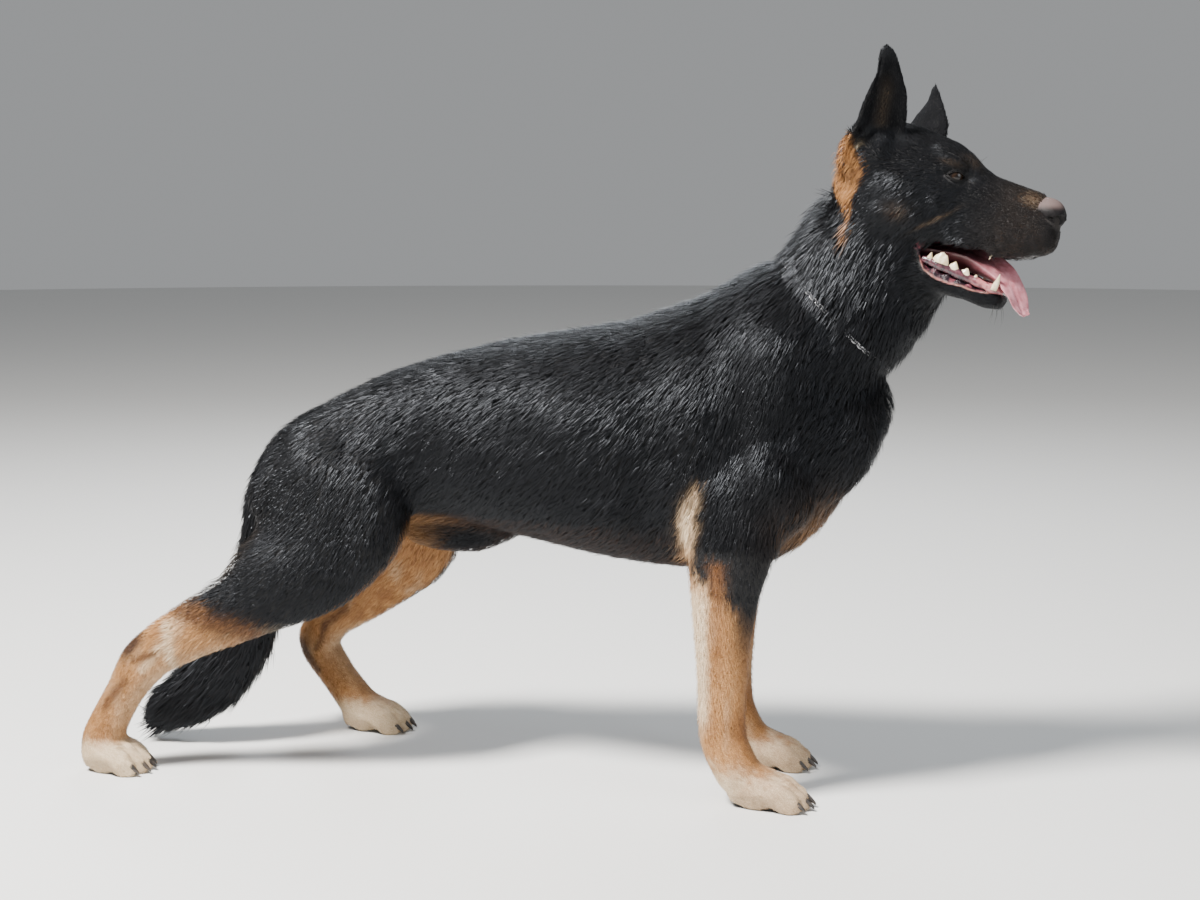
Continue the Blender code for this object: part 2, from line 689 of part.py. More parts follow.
# Collar
ring = surface_ring(body, COLLAR_AT, COLLAR_AXIS, 22)
combine(body, ring_cord("groove", ring, COLLAR_AT, COLLAR_AXIS, COLLAR_WIRE + GAP, 5), "DIFFERENCE")
collar = ring_cord("collar", ring, COLLAR_AT, COLLAR_AXIS, COLLAR_WIRE, 5)
main_body(body)

# Neck, then the legs from the floor up, then the tail
coat_pieces = {"trunk": body}


def take(name, *where):
    """Parts a named piece off the body."""
    coat_pieces[name] = part_off(body, name, *where)


NECK_AXIS = Vector((0.71, 0, 0.705)).normalized()
take("neck", Vector((0.260, 0, 0.545)), NECK_AXIS, (0.4, 0.3, 0.3))
for side, word, back in ((-1, "right", 0.0), (+1, "left", FAR_FORE_BACK)):
    y = FRONT_HALF_TRACK * side
    take(f"forepaw_{word}", (0.20 - back, y, 0.058), (0, 0, -1), (0.2, 0.14, 0.1))
    take(f"forearm_{word}", (0.18 - back, y, 0.262), (0, 0, -1), (0.2, 0.14, 0.25))
    take(f"upper_arm_{word}", (0.185 - back / 2, 0.092 * side, 0.330), (0, 0.766 * side, -0.643),
         (0.20, 0.170, 0.12))
take("tail_brush", (-0.53, 0.03, 0.205), (0, 0, -1), (0.22, 0.13, 0.25))
take("tail_base", (-0.412, 0.025, 0.29), (-1, 0, 0), (0.17, 0.11, 0.1))
take("hindpaw_right", (-0.62, -0.12, 0.052), (0, 0, -1), (0.2, 0.12, 0.1))
take("hock_right", (-0.548, -0.117, 0.157), (-0.86, 0, -0.51), (0.25, 0.12, 0.2))
take("lower_thigh_right", (-0.400, -0.105, 0.240), (-0.90, 0, -0.43), (0.22, 0.14, 0.25))
take("hindpaw_left", (-0.36, 0.14, 0.050), (0, 0, -1), (0.2, 0.12, 0.1))
take("hock_left", (-0.395, 0.138, 0.140), (-0.45, 0, -0.90), (0.20, 0.12, 0.15))
take("lower_thigh_left", (-0.290, 0.118, 0.235), (-0.6, 0, -0.8), (0.30, 0.14, 0.2))
for side, word in ((-1, "right"), (+1, "left")):
    take(f"thigh_{word}", (-0.335, 0.045 * side, 0.350), (0, 0.94 * side, -0.34), (0.27, 0.34, 0.15))

# Claws
for name, paw in PAWS.items():
    with_spikes(coat_pieces[name], claws(*paw))

# Mouth: the gape between the lips, and the hollows in the palate and in the floor
for hollow in (gape_form(), palate_form(), floor_form()):
    combine(head, hollow, "DIFFERENCE", "MANIFOLD")
main_body(head)

# Eyes in their sockets, then nose, ears and lower jaw off the head
eyes = {}
for side, word in ((-1, "right"), (+1, "left")):
    at = Vector((EYE_AT[0], EYE_AT[1] * side, EYE_AT[2]))
    combine(head, eye_ball("socket", at, EYE_RADIUS + GAP), "DIFFERENCE", "MANIFOLD")
    eyes[f"eye_{word}"] = eye_ball(f"eye_{word}", at, EYE_RADIUS)
coat_pieces["head"] = head
nose = part_off(head, "nose", (0.2315, 0, -0.0060), (1, 0, 0), (0.050, 0.10, 0.1), HEAD, "MANIFOLD")
for side in (-1, +1):
    nostril = ball((0.2565, 0.0088 * side, -0.0140), (0.0085, 0.0046, 0.0046), 10, HEAD, 10)
    combine(nose, nostril, "DIFFERENCE", "MANIFOLD")
for side, word in ((-1, "right"), (+1, "left")):
    name = f"ear_{word}"
    coat_pieces[name] = part_off(head, name, (0.034, 0.057 * side, 0.0), (0, 0.8 * side, 0.6),
                                 (0.125, 0.16, 0.16), HEAD, "MANIFOLD")
jaw = part_off(head, "lower_jaw", (0.150, 0, -0.1010), (0.07, 0, -1), (0.226, 0.16, 0.08), HEAD,
               "MANIFOLD")
coat_pieces["lower_jaw"] = jaw

# Teeth grow from the jaws, and the tongue lies over the lower front teeth
tongue = tongue_form()
with_spikes(jaw, lower_teeth(), HEAD)
combine(jaw, tongue_form(GAP), "DIFFERENCE", "MANIFOLD")
main_body(jaw)
with_spikes(head, upper_teeth(), HEAD)

# Finish: materials, round shading, and the origin at the middle of the bottom of the box
def shown(name, obj, look):
    """Names an object and gives it its own material."""
    colour, roughness, metallic = look
    material = bpy.data.materials.new(name)
    material.use_nodes = True
    shader = material.node_tree.nodes["Principled BSDF"]
    shader.inputs["Base Color"].default_value = (*colour, 1.0)
    shader.inputs["Roughness"].default_value = roughness
    shader.inputs["Metallic"].default_value = metallic
    obj.name = name
    obj.data.materials.clear()
    obj.data.materials.append(material)
    obj.data.shade_smooth()
    obj.data.set_sharp_from_angle(angle=math.radians(40))


LOOKS = {"forearm": TAN_COAT, "forepaw": CREAM_COAT, "hindpaw": CREAM_COAT, "hock": TAN_COAT}
for name, piece in coat_pieces.items():
    shown(name, piece, LOOKS.get(name.rsplit("_", 1)[0], BLACK_COAT))
shown("collar", collar, CHAIN_STEEL)
shown("nose", nose, NOSE_LEATHER)
shown("tongue", tongue, TONGUE_PINK)
for name, eye in eyes.items():
    shown(name, eye, EYE_BROWN)

pieces = [obj for obj in bpy.data.objects if obj.type == "MESH"]
corners = np.array([corner for obj in pieces for corner in obj.bound_box])
low, high = corners.min(axis=0), corners.max(axis=0)
origin = Vector(((low[0] + high[0]) / 2, (low[1] + high[1]) / 2, low[2]))
for obj in pieces:
    obj.data.transform(Matrix.Translation(-origin))
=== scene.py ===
"""A standing shepherd dog, life-size: the hide, eyes, mouth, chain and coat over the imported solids."""
import math

import bmesh
import bpy
import numpy as np
from mathutils import Matrix, Vector


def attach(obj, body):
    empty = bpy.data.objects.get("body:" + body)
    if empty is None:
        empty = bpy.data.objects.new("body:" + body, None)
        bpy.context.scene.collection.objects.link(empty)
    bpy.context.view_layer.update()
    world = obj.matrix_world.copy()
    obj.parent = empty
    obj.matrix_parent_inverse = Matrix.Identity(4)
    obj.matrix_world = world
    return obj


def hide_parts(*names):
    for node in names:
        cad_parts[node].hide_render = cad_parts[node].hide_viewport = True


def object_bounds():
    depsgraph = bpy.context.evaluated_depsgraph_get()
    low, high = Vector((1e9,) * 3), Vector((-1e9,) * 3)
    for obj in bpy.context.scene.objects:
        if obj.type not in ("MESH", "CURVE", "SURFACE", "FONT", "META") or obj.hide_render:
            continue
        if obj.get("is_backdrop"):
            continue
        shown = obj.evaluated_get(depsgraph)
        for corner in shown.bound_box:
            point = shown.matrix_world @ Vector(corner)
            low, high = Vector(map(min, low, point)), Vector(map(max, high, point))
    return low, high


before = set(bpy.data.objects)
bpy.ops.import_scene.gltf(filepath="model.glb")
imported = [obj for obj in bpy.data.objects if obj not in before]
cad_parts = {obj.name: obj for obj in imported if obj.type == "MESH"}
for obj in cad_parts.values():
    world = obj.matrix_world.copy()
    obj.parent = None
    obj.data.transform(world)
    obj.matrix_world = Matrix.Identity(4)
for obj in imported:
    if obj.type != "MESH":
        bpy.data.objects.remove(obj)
cad_low, cad_high = (np.array(corner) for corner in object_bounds())

# ---------------------------------------------------------------- studio
# A pale matt floor, and three soft panels of light: a broad one over the dog's right side, a weaker
# one in front of its nose and one behind its back. The camera stands low, level with its shoulder.


def straight_to(place, target):
    """The turn that points an object's own -Z from its place to the target."""
    return (Vector(target) - Vector(place)).to_track_quat("-Z", "Y").to_euler()


camera = bpy.data.objects.new("camera", bpy.data.cameras.new("camera"))
camera.data.lens, camera.data.sensor_width = 58.8, 36.0
camera.location = (0.587, -2.3476, 0.72)
camera.rotation_euler = (math.radians(90 - 7.3134), 0, math.radians(13))
bpy.context.scene.collection.objects.link(camera)
bpy.context.scene.camera = camera

PANELS = {"key": ((-1.3, -1.7, 3.4), 0.8, 610, (1.0, 0.97, 0.93)),
          "front": ((2.6, -1.2, 1.4), 1.6, 26, (0.9, 0.95, 1.0)),
          "back": ((-0.6, 2.4, 2.6), 1.2, 60, (0.88, 0.94, 1.0))}
for name, (place, width, power, colour) in PANELS.items():
    panel = bpy.data.objects.new(name, bpy.data.lights.new(name, "AREA"))
    panel.data.size, panel.data.energy, panel.data.color = width, power, colour
    panel.location = place
    panel.rotation_euler = straight_to(place, (0, 0, 0.4))
    bpy.context.scene.collection.objects.link(panel)

world = bpy.data.worlds.new("studio")
world.use_nodes = True
world.node_tree.nodes["Background"].inputs["Color"].default_value = (0.9, 0.92, 0.94, 1)
world.node_tree.nodes["Background"].inputs["Strength"].default_value = 0.37
bpy.context.scene.world = world


def plain_material(name, colour, roughness, **sockets):
    """A Principled material with set values."""
    made = bpy.data.materials.new(name)
    made.use_nodes = True
    shader = made.node_tree.nodes["Principled BSDF"]
    shader.inputs["Base Color"].default_value = (*colour, 1)
    shader.inputs["Roughness"].default_value = roughness
    for socket, value in sockets.items():
        shader.inputs[socket.replace("_", " ")].default_value = value
    return made


def full_turn(count):
    """That many equal angles round a full turn."""
    return np.linspace(0, 2 * np.pi, count, endpoint=False)


FLOOR_RADIUS = 14
turn = full_turn(96)
disc = bpy.data.meshes.new("floor")
disc.from_pydata((FLOOR_RADIUS * np.stack([np.cos(turn), np.sin(turn), 0 * turn], 1)).tolist(), [],
                 [list(range(len(turn)))])
floor = bpy.data.objects.new("floor", disc)
disc.materials.append(plain_material("floor paper", (0.68, 0.68, 0.67), 0.9))
bpy.context.scene.collection.objects.link(floor)
floor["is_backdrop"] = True

# ---------------------------------------------------------------- hide
# One skin over the whole dog, with no seam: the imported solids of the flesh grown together, drawn in
# by the depth of the hair so that the hair's tips reach the solids' own faces, and then worked
# round the eyes, the nose and the lips.

BARE = ("collar", "tongue")
FLESH = [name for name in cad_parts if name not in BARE]
GRAIN = 0.0025                  # first mesh of the skin
BODY_SHARE = 0.1                # of that mesh kept behind the head and above the paws

RIGHT, LEFT = -1, 1             # the sides, by the sign of y
MID = -0.0091                   # the y of the body's own middle plane
HEAD_END, HEAD_END_WAY = (0.367, MID, 0.645), (-0.8024, 0, -0.5968)     # the plane behind the head
OVERLAP = 0.0005                # by which the solids grow, so that they meet

HEAD_ROWS = np.array(
    Matrix.Translation((0.3651, -0.0141, 0.79)) @ Matrix.Rotation(math.radians(-14), 4, "Z")
    @ Matrix.Rotation(math.radians(18), 4, "Y") @ Matrix.Rotation(math.radians(-5), 4, "X"))
HEAD_TURN, HEAD_AT = HEAD_ROWS[:3, :3], HEAD_ROWS[:3, 3]
FORWARD, UPWARD = HEAD_TURN[:, 0], HEAD_TURN[:, 2]


def on_head(points):
    """Places from the head's own frame, +X to the nose and +Y to the dog's left, in the model's."""
    return np.asarray(points, float) @ HEAD_TURN.T + HEAD_AT


def in_head(points):
    """Places in the model, in the head's own frame."""
    return (np.asarray(points, float) - HEAD_AT) @ HEAD_TURN


def head_way(way):
    """A direction from the head's own frame, in the model's."""
    return HEAD_TURN @ np.array(way, float)


def flipped(place, side):
    """A place on the left, or its mirror image on the right."""
    return np.array(place) * (1, side, 1)


def both_alike(own):
    """Places in the head's own frame, with those on the right mirrored to the left."""
    return np.stack([own[:, 0], np.abs(own[:, 1]), own[:, 2]], 1)


def eased(value, low, high):
    """0 at low and below, 1 at high and above, with a soft S between."""
    share = np.clip((value - low) / (high - low), 0, 1)
    return share * share * (3 - 2 * share)


def bell(value, width):
    """1 at zero, falling off by e to the power of minus the square of the value over the width."""
    return np.exp(-(value / width) ** 2)


def within(value, low, high):
    """Whether the value lies between the two."""
    return (value > low) & (value < high)


def unit(rows):
    """Rows scaled to length one."""
    return rows / np.maximum(np.linalg.norm(rows, axis=-1, keepdims=True), 1e-12)


def laid_flat(rows, normals):
    """The rows less what they have along the normals."""
    return rows - normals * (rows * normals).sum(1, keepdims=True)


def read_mesh(mesh):
    """The mesh's points, its triangles and its edges as arrays."""
    points = np.empty(len(mesh.vertices) * 3)
    mesh.vertices.foreach_get("co", points)
    mesh.calc_loop_triangles()
    triangles = np.empty(len(mesh.loop_triangles) * 3, np.int32)
    mesh.loop_triangles.foreach_get("vertices", triangles)
    edges = np.empty(len(mesh.edges) * 2, np.int32)
    mesh.edges.foreach_get("vertices", edges)
    return points.reshape(-1, 3), triangles.reshape(-1, 3), edges.reshape(-1, 2)


def normals_of(points, triangles):
    """The mean of the faces' normals at each point, weighted by their area."""
    a, b, c = (points[triangles[:, k]] for k in range(3))
    face = np.cross(b - a, c - a)
    total = np.stack([sum(np.bincount(triangles[:, k], face[:, axis], len(points)) for k in range(3))
                      for axis in range(3)], 1)
    return unit(total)


def relaxed(rows, edges, passes, share=0.5):
    """Each row moves its share of the way to the mean of its neighbours, again and again."""
    size = len(rows)
    first, second = edges[:, 0], edges[:, 1]
    count = np.maximum(np.bincount(edges.ravel(), minlength=size), 1)
    for _ in range(passes):
        total = [np.bincount(first, rows[second, k], size) + np.bincount(second, rows[first, k], size)
                 for k in range(rows.shape[1])]
        rows = rows + (np.stack(total, 1) / count[:, None] - rows) * share
    return rows


def put_points(mesh, points):
    """Gives the mesh new places for its points."""
    mesh.vertices.foreach_set("co", np.asarray(points, np.float32).ravel())
    mesh.update()


def shown(name, mesh, look):
    """An object of that mesh and material that rides with the body."""
    piece = bpy.data.objects.new(name, mesh)
    bpy.context.scene.collection.objects.link(piece)
    mesh.materials.append(look)
    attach(piece, "root")
    return piece


# The lines that the coat follows: from, to and reach at each end in millimetres, lie (0, 0, 0: along
# the line), length and depth of the hair in millimetres, and piece. The head's are in its own frame.
BODY_LINES = [
    (300, -9.1, 500, -20, -9.1, 430, 130, 125, -1, 0, -1.15, 20, 8, "trunk"),
    (-20, -9.1, 430, -330, -9.1, 400, 120, 90, -1, 0, -0.85, 20, 7.5, "trunk"),
    (215, -9.1, 510, 400, -12, 690, 110, 85, -0.38, 0, -0.92, 27, 12, "neck"),
    (400, -12, 600, 325, -9.1, 470, 60, 60, -0.3, 0, -0.95, 28, 12, "neck"),
    (330, -9.1, 460, 290, -9.1, 340, 70, 60, -0.35, 0, -0.94, 25, 9, "neck"),
    (100, -9.1, 300, -80, -9.1, 315, 60, 50, -1, 0, -0.6, 18, 6, "trunk"),
    (-70, -9.1, 300, -200, -9.1, 300, 30, 30, -1, 0, -0.1, 12, 4, "trunk"),
    (-323, -9.1, 432, -396, 9, 340, 40, 40, 0, 0, 0, 32, 11, "tail"),
    (-396, 9, 340, -423, 21, 195, 40, 42, 0, 0, 0, 38, 15, "tail"),
    (-423, 21, 195, -501, 19, 80, 42, 45, 0, 0, 0, 42, 17, "tail"),
    (-501, 19, 80, -562, 15, 41, 45, 32, 0, 0, 0, 40, 13, "tail"),
    (255, -87.1, 530, 232, -94.1, 360, 70, 55, -0.34, 0, -0.94, 19, 6, "neck"),
    (222, -94.1, 300, 216, -94.1, 95, 46, 34, -0.08, 0, -1, 8, 2.4, "foreleg"),
    (218, -94.1, 60, 315, -94.1, 18, 36, 34, 0.85, 0, -0.5, 5, 1, "foreleg"),
    (255, 68.9, 530, 223, 75.9, 360, 70, 55, -0.34, 0, -0.94, 19, 6, "neck"),
    (204, 75.9, 300, 198, 75.9, 95, 46, 34, -0.08, 0, -1, 8, 2.4, "foreleg"),
    (200, 75.9, 60, 297, 75.9, 18, 36, 34, 0.85, 0, -0.5, 5, 1, "foreleg"),
    (-285, -60, 430, -272, -88, 290, 100, 70, -0.5, 0, -0.86, 20, 6.5, "hindleg"),
    (-375, -60, 400, -420, -98, 265, 44, 40, -0.6, 0, -0.8, 36, 15, "hindleg"),
    (-320, -99, 262, -470, -119, 172, 58, 36, -0.8, 0, -0.6, 13, 4, "hindleg"),
    (-500, -124, 150, -575, -129, 50, 34, 30, 0, 0, 0, 6, 1.6, "hindleg"),
    (-585, -129, 40, -508, -129, 18, 34, 34, 0.85, 0, -0.5, 5, 1, "hindleg"),
    (-270, 45, 430, -238, 70, 290, 100, 70, -0.4, 0, -0.9, 20, 6.5, "hindleg"),
    (-345, 40, 400, -330, 85, 265, 40, 36, -0.5, 0, -0.86, 32, 13, "hindleg"),
    (-240, 90, 255, -350, 122, 160, 58, 34, -0.75, 0, -0.66, 12, 3.6, "hindleg"),
    (-381, 127, 122, -335, 131, 50, 34, 30, 0, 0, 0, 6, 1.6, "hindleg"),
    (-330, 131, 40, -250, 131, 18, 34, 34, 0.85, 0, -0.5, 5, 1, "hindleg")]
HEAD_LINES = [
    (262, 0, -12, 248, 0, -12, 16, 18, -1, 0, 0, 2, 2.2, "head"),
    (238, 0, -40, 165, 0, -38, 30, 38, -1, 0, -0.05, 4, 0.9, "head"),
    (150, 0, -10, 40, 0, -10, 46, 50, -1, 0, 0.1, 8, 1.5, "head"),
    (222, 0, -125, 100, 0, -118, 26, 40, -1, 0, -0.05, 6, 1.3, "head"),
    (120, -32, -50, 50, -42, -65, 44, 48, -0.58, 0, -0.81, 14, 3.2, "head"),
    (30, -36, -70, -10, -30, -110, 46, 60, -0.16, 0, -0.99, 25, 9.5, "head"),
    (12, -52, -10, 10, -50, -55, 27, 30, -0.15, 0, -0.99, 14, 5.6, "head"),
    (120, 32, -50, 50, 42, -65, 44, 48, -0.58, 0, -0.81, 14, 3.2, "head"),
    (30, 36, -70, -10, 30, -110, 46, 60, -0.16, 0, -0.99, 25, 9.5, "head"),
    (12, 52, -10, 10, 50, -55, 27, 30, -0.15, 0, -0.99, 14, 5.6, "head"),
    (32, -54, 20, 10, -66, 110, 40, 20, 0, 0, 0, 6, 0.8, "head"),
    (40, 60, 20, 30, 90, 97, 40, 20, 0, 0, 0, 6, 0.8, "head")]


def lines_of(rows, place=np.array, way=np.array):
    """The lines in metres and with lies of length one, moved by place and turned by way."""
    made = []
    for *row, part in rows:
        row = np.array(row)
        start, end = place(row[:3] / 1000), place(row[3:6] / 1000)
        lie = way(row[8:11]) if row[8:11].any() else end - start
        made.append((start, end, *row[6:8] / 1000, unit(lie), *row[11:], part))
    return made


LINES = lines_of(BODY_LINES) + lines_of(HEAD_LINES, on_head, head_way)


def along_line(points, start, end):
    """How far along a line each point lies, 0 to 1, and its way off the line."""
    along = np.clip((points - start) @ (end - start) / ((end - start) @ (end - start)), 0, 1)
    return along, points - start - along[:, None] * (end - start)


def coat_at(points, normals):
    """Lie, hair length, depth and strongest line at each point: the lines' values, mixed by one over
    the sixth power of each one's distance in its own reach, with the lie laid flat on the skin."""
    lie = np.zeros((len(points), 3))
    hair, depth, total, most = (np.zeros(len(points)) for _ in range(4))
    line = np.zeros(len(points), int)
    for number, (start, end, reach, far_reach, way, length, deep, _) in enumerate(LINES):
        along, away = along_line(points, start, end)
        gap = np.linalg.norm(away, axis=1)
        weight = 1 / (0.02 + (gap / (reach + (far_reach - reach) * along)) ** 6)
        lie += weight[:, None] * way
        hair += weight * length
        depth += weight * deep
        total += weight
        line[weight > most] = number
        most = np.maximum(most, weight)
    return unit(laid_flat(lie, normals)), hair / total * 0.001, depth / total * 0.001, line


EYE_RADIUS = 0.0115
EYE_AT = (0.1258, 0.0236, -0.0085)
LIDS_FACE = (0.56, 0.83, 0.05)          # where the opening between the lids faces
LID_SLANT = math.radians(8)             # the corner by the nose stands higher than the outer one
LID_HALF, UPPER_LID, LOWER_LID = (math.radians(a) for a in (57, 28, 20))
LID_THICK = 0.0013


def eye_axes(side):
    """Middle of the eyeball, and unit vectors outwards, towards the nose and up."""
    out = unit(head_way(flipped(LIDS_FACE, side)))
    nose = unit(FORWARD - out * (out @ FORWARD))
    up = np.cross(out, nose) * -side
    nose, up = (nose * math.cos(LID_SLANT) + up * math.sin(LID_SLANT),
                up * math.cos(LID_SLANT) - nose * math.sin(LID_SLANT))
    return on_head(flipped(EYE_AT, side)), out, nose, up


def lid_angles(points, side):
    """Distance from the eye's middle, the angle up from the lids' middle line and how far, as an
    angle, a point is outside the opening; the opening's edges are two parabolas that meet."""
    middle, out, nose, up = eye_axes(side)
    away = points - middle
    far = np.linalg.norm(away, axis=1)
    ahead = away @ out
    across = np.arctan2(away @ nose, ahead)
    rise = np.arcsin(np.clip(away @ up / np.maximum(far, 1e-9), -1, 1))
    lens = 1 - (across / LID_HALF) ** 2
    outside = np.where(rise > 0, rise - UPPER_LID * lens, -rise - LOWER_LID * lens)
    return far, rise, outside, ahead / np.maximum(far, 1e-9)


def with_lids(points):
    """The skin drawn over the eyeball as two lids, with a fold in each, and sunk in between."""
    lid, sunk = EYE_RADIUS + LID_THICK, EYE_RADIUS - 0.003
    for side in (RIGHT, LEFT):
        middle = eye_axes(side)[0]
        far, rise, outside, facing = lid_angles(points, side)
        near = (far < EYE_RADIUS + 0.022) & (facing > 0.05)
        upper = rise > 0
        reach = lid + (far - lid) * eased(outside, 0.0, math.radians(40))
        fold = np.where(upper, 0.0011, 0.0007) * bell(outside - math.radians(14), 0.075)
        roll = np.where(upper, 0.0006, 0.0005) * bell(outside - math.radians(5), 0.07)
        reach = reach - fold + roll
        reach = np.where(outside < 0, lid + (sunk - lid) * eased(-outside, 0.0, math.radians(7)), reach)
        reach = far + (reach - far) * (near * eased(facing, 0.05, 0.35))
        points = middle + (points - middle) * (reach / np.maximum(far, 1e-9))[:, None]
    return points


def evaluated(piece):
    """A mesh of the object as its modifiers leave it."""
    return bpy.data.meshes.new_from_object(piece.evaluated_get(bpy.context.evaluated_depsgraph_get()))


def skin_mesh():
    """The flesh grown together on a fine grid, softened, and thinned behind the head."""
    bm = bmesh.new()
    for name in FLESH:
        bm.from_mesh(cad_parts[name].data)
    bmesh.ops.remove_doubles(bm, verts=bm.verts, dist=1e-5)
    mesh = bpy.data.meshes.new("hide")
    bm.to_mesh(mesh)
    bm.free()
    points, triangles, _ = read_mesh(mesh)
    put_points(mesh, points + normals_of(points, triangles) * OVERLAP)
    whole = bpy.data.objects.new("hide rough", mesh)
    bpy.context.scene.collection.objects.link(whole)
    grow = whole.modifiers.new("grow", "REMESH")
    grow.mode, grow.voxel_size = "VOXEL", GRAIN
    fine = evaluated(whole)
    whole.modifiers.clear()
    points, triangles, edges = read_mesh(fine)
    behind = eased((points - HEAD_END) @ HEAD_END_WAY, 0, 0.05)
    plain = behind * eased(points[:, 2], 0.025, 0.05)
    points = relaxed(points, edges, 14, 0.25 + 0.25 * plain[:, None])
    points = relaxed(points, edges, 20, 0.5 * plain[:, None])
    put_points(fine, points)
    whole.data = fine
    group = whole.vertex_groups.new(name="plain")
    group.add(np.flatnonzero(plain > 0.5).tolist(), 1.0, "REPLACE")
    protected = (plain <= 0.5).mean()
    thin = whole.modifiers.new("thin", "DECIMATE")
    thin.vertex_group = "plain"
    thin.ratio = protected + (1 - protected) * BODY_SHARE
    thinned = evaluated(whole)
    bpy.data.objects.remove(whole)
    return thinned


# the outer edge of the lower lip, and how far along the head the lips reach
LIP_LINE = np.array([
    (116, -99), (123, -111), (132, -119.5), (148, -124.5), (165, -124.8), (178, -123),
    (190, -123.8), (203, -122), (214, -119), (226, -115)]) / 1000
LIPS_SPAN = (0.112, 0.232)


def above_lip(own):
    """Height over the outer edge of the lower lip, in the head's own frame."""
    return own[:, 2] - np.interp(own[:, 0], LIP_LINE[:, 0], LIP_LINE[:, 1])


def cut_finer(mesh):
    """The skin divided into cells a quarter as wide round the eyes and half as wide at the lips."""
    bm = bmesh.new()
    bm.from_mesh(mesh)
    for side in (RIGHT, LEFT):
        middle = Vector(eye_axes(side)[0])
        near = [e for e in bm.edges if (e.verts[0].co - middle).length < 0.019]
        bmesh.ops.subdivide_edges(bm, edges=near, cuts=3, use_grid_fill=True)
    bm.edges.ensure_lookup_table()
    middles = np.array([e.verts[0].co + e.verts[1].co for e in bm.edges]) / 2
    own = in_head(middles)
    lips = (np.abs(above_lip(own)) < 0.01) & within(own[:, 0], *LIPS_SPAN)
    lips &= np.abs(own[:, 1]) > 0.012
    bmesh.ops.subdivide_edges(bm, edges=[bm.edges[k] for k in np.flatnonzero(lips)], cuts=1,
                              use_grid_fill=True)
    bmesh.ops.triangulate(bm, faces=[f for f in bm.faces if len(f.verts) > 4])
    bm.to_mesh(mesh)
    bm.free()


def spot(points, middle, radii):
    """1 at the middle of an ellipsoid, falling off as a bell to nothing past its radii."""
    return np.exp(-1.4 * (((points - np.array(middle)) / np.array(radii)) ** 2).sum(1))


def add_bells(lift, points, forms):
    """Adds a bell to the lift for each row of a middle, three radii and a height."""
    for row in forms:
        lift += row[6] * spot(points, row[:3], row[3:6])


PAWS = ((0.2131, 0.114, -0.0941), (0.1951, 0.114, 0.0759), (-0.6079, 0.1, -0.1291),
        (-0.3549, 0.108, 0.1309))       # heel, length and middle line of each paw
TOES = ((-1.5, 0.8), (-0.5, 0.875), (0.5, 0.875), (1.5, 0.8))
TOE_SPACING = 0.0165
# by height on the ear, in millimetres and in the head's own frame: where its back and front edge lie,
# and how far these go towards the nose, first on the right and then on the left
EARS = np.array([
    (15, 4, 58, 9.5, 4, 0, 16), (34, 2, 53, 10.5, 4.4, 0, 16.5), (47, 2, 49, 11.2, 5, 0.5, 14.8),
    (60, 2, 43, 12.5, 4.6, 4, 11.5), (71, 3, 38, 12.8, 3.4, 8.6, 8.5), (81, 4, 32, 9, 2.7, 10, 4.5),
    (90, 6, 26, 5.5, 3, 5, 2), (98, 8, 18, 1.2, 3.5, 3, 2)]).T / 1000
LEFT_EAR_SHORTER = 0.0068
EAR_FURROW = ((0.022, 0.052, 0.088), (0.0227, 0.02, 0.014))     # how far forward it lies, by height


def with_ears(points):
    """Each ear's back and front edge set in its own place: between them the skin moves by a share
    of both moves. The left ear is also a little shorter."""
    own = in_head(points)
    x, y, z = own.T.copy()
    back, front, *moves = (np.interp(z, EARS[0], column) for column in EARS[1:])
    across = np.clip((x - back) / (front - back), 0, 1)
    for side, (back_move, front_move) in ((RIGHT, moves[:2]), (LEFT, moves[2:])):
        on_ear = eased(z, -0.014, 0.018) * eased(y * side, 0.034, 0.046)
        own[:, 0] += on_ear * (back_move * (1 - across) + front_move * across)
        if side == LEFT:
            own[:, 2] -= on_ear * LEFT_EAR_SHORTER * eased(z, 0.03, 0.085)
    return on_head(own)


def furrow_gap(own):
    """How far in front of the ear's furrow a place lies, and how much it is on the ear."""
    on_ear = eased(own[:, 2], 0.006, 0.022) * (1 - eased(own[:, 2], 0.086, 0.096))
    return own[:, 0] - np.interp(own[:, 2], *EAR_FURROW), on_ear * (np.abs(own[:, 1]) > 0.036)


# Bells of muscle and bone under the coat, in millimetres: middle, radii and height. The head's are
# in its own frame, on its left; the body's and the hind leg's on the dog's right side.
HEAD_FORMS = np.array([
    (127, 30, 10, 16, 20, 7, 1.6), (152, 24, -14, 12, 14, 6, -1.4), (140, 33, -24, 18, 16, 6, -1),
    (120, 42, -36, 22, 20, 8, 1.4), (132, 38, -52, 20, 20, 6, -1.2), (85, 45, -40, 30, 30, 22, 2),
    (138, 0, 22, 26, 6, 14, -1.6), (200, 24, -50, 24, 20, 12, 1.2), (190, 18, -16, 24, 10, 8, -1),
    (254, 0, -46, 14, 18, 18, 3.4), (258, 0, -45, 20, 2.2, 18, -1.6)]) / 1000
BODY_FORMS = np.array([
    (182, -100, 460, 26, 80, 75, 7.5), (128, -110, 460, 20, 80, 85, -4),
    (236, -80, 475, 22, 70, 90, -8), (168, -110, 375, 30, 60, 36, 6.5),
    (122, -110, 365, 18, 60, 42, -4.5), (275, -90, 400, 28, 50, 30, 4.5),
    (238, -100, 430, 15, 50, 34, -4.5), (45, -120, 475, 70, 60, 40, 4.5),
    (-60, -110, 450, 40, 60, 60, -3), (60, -120, 380, 70, 50, 20, -3)]) / 1000
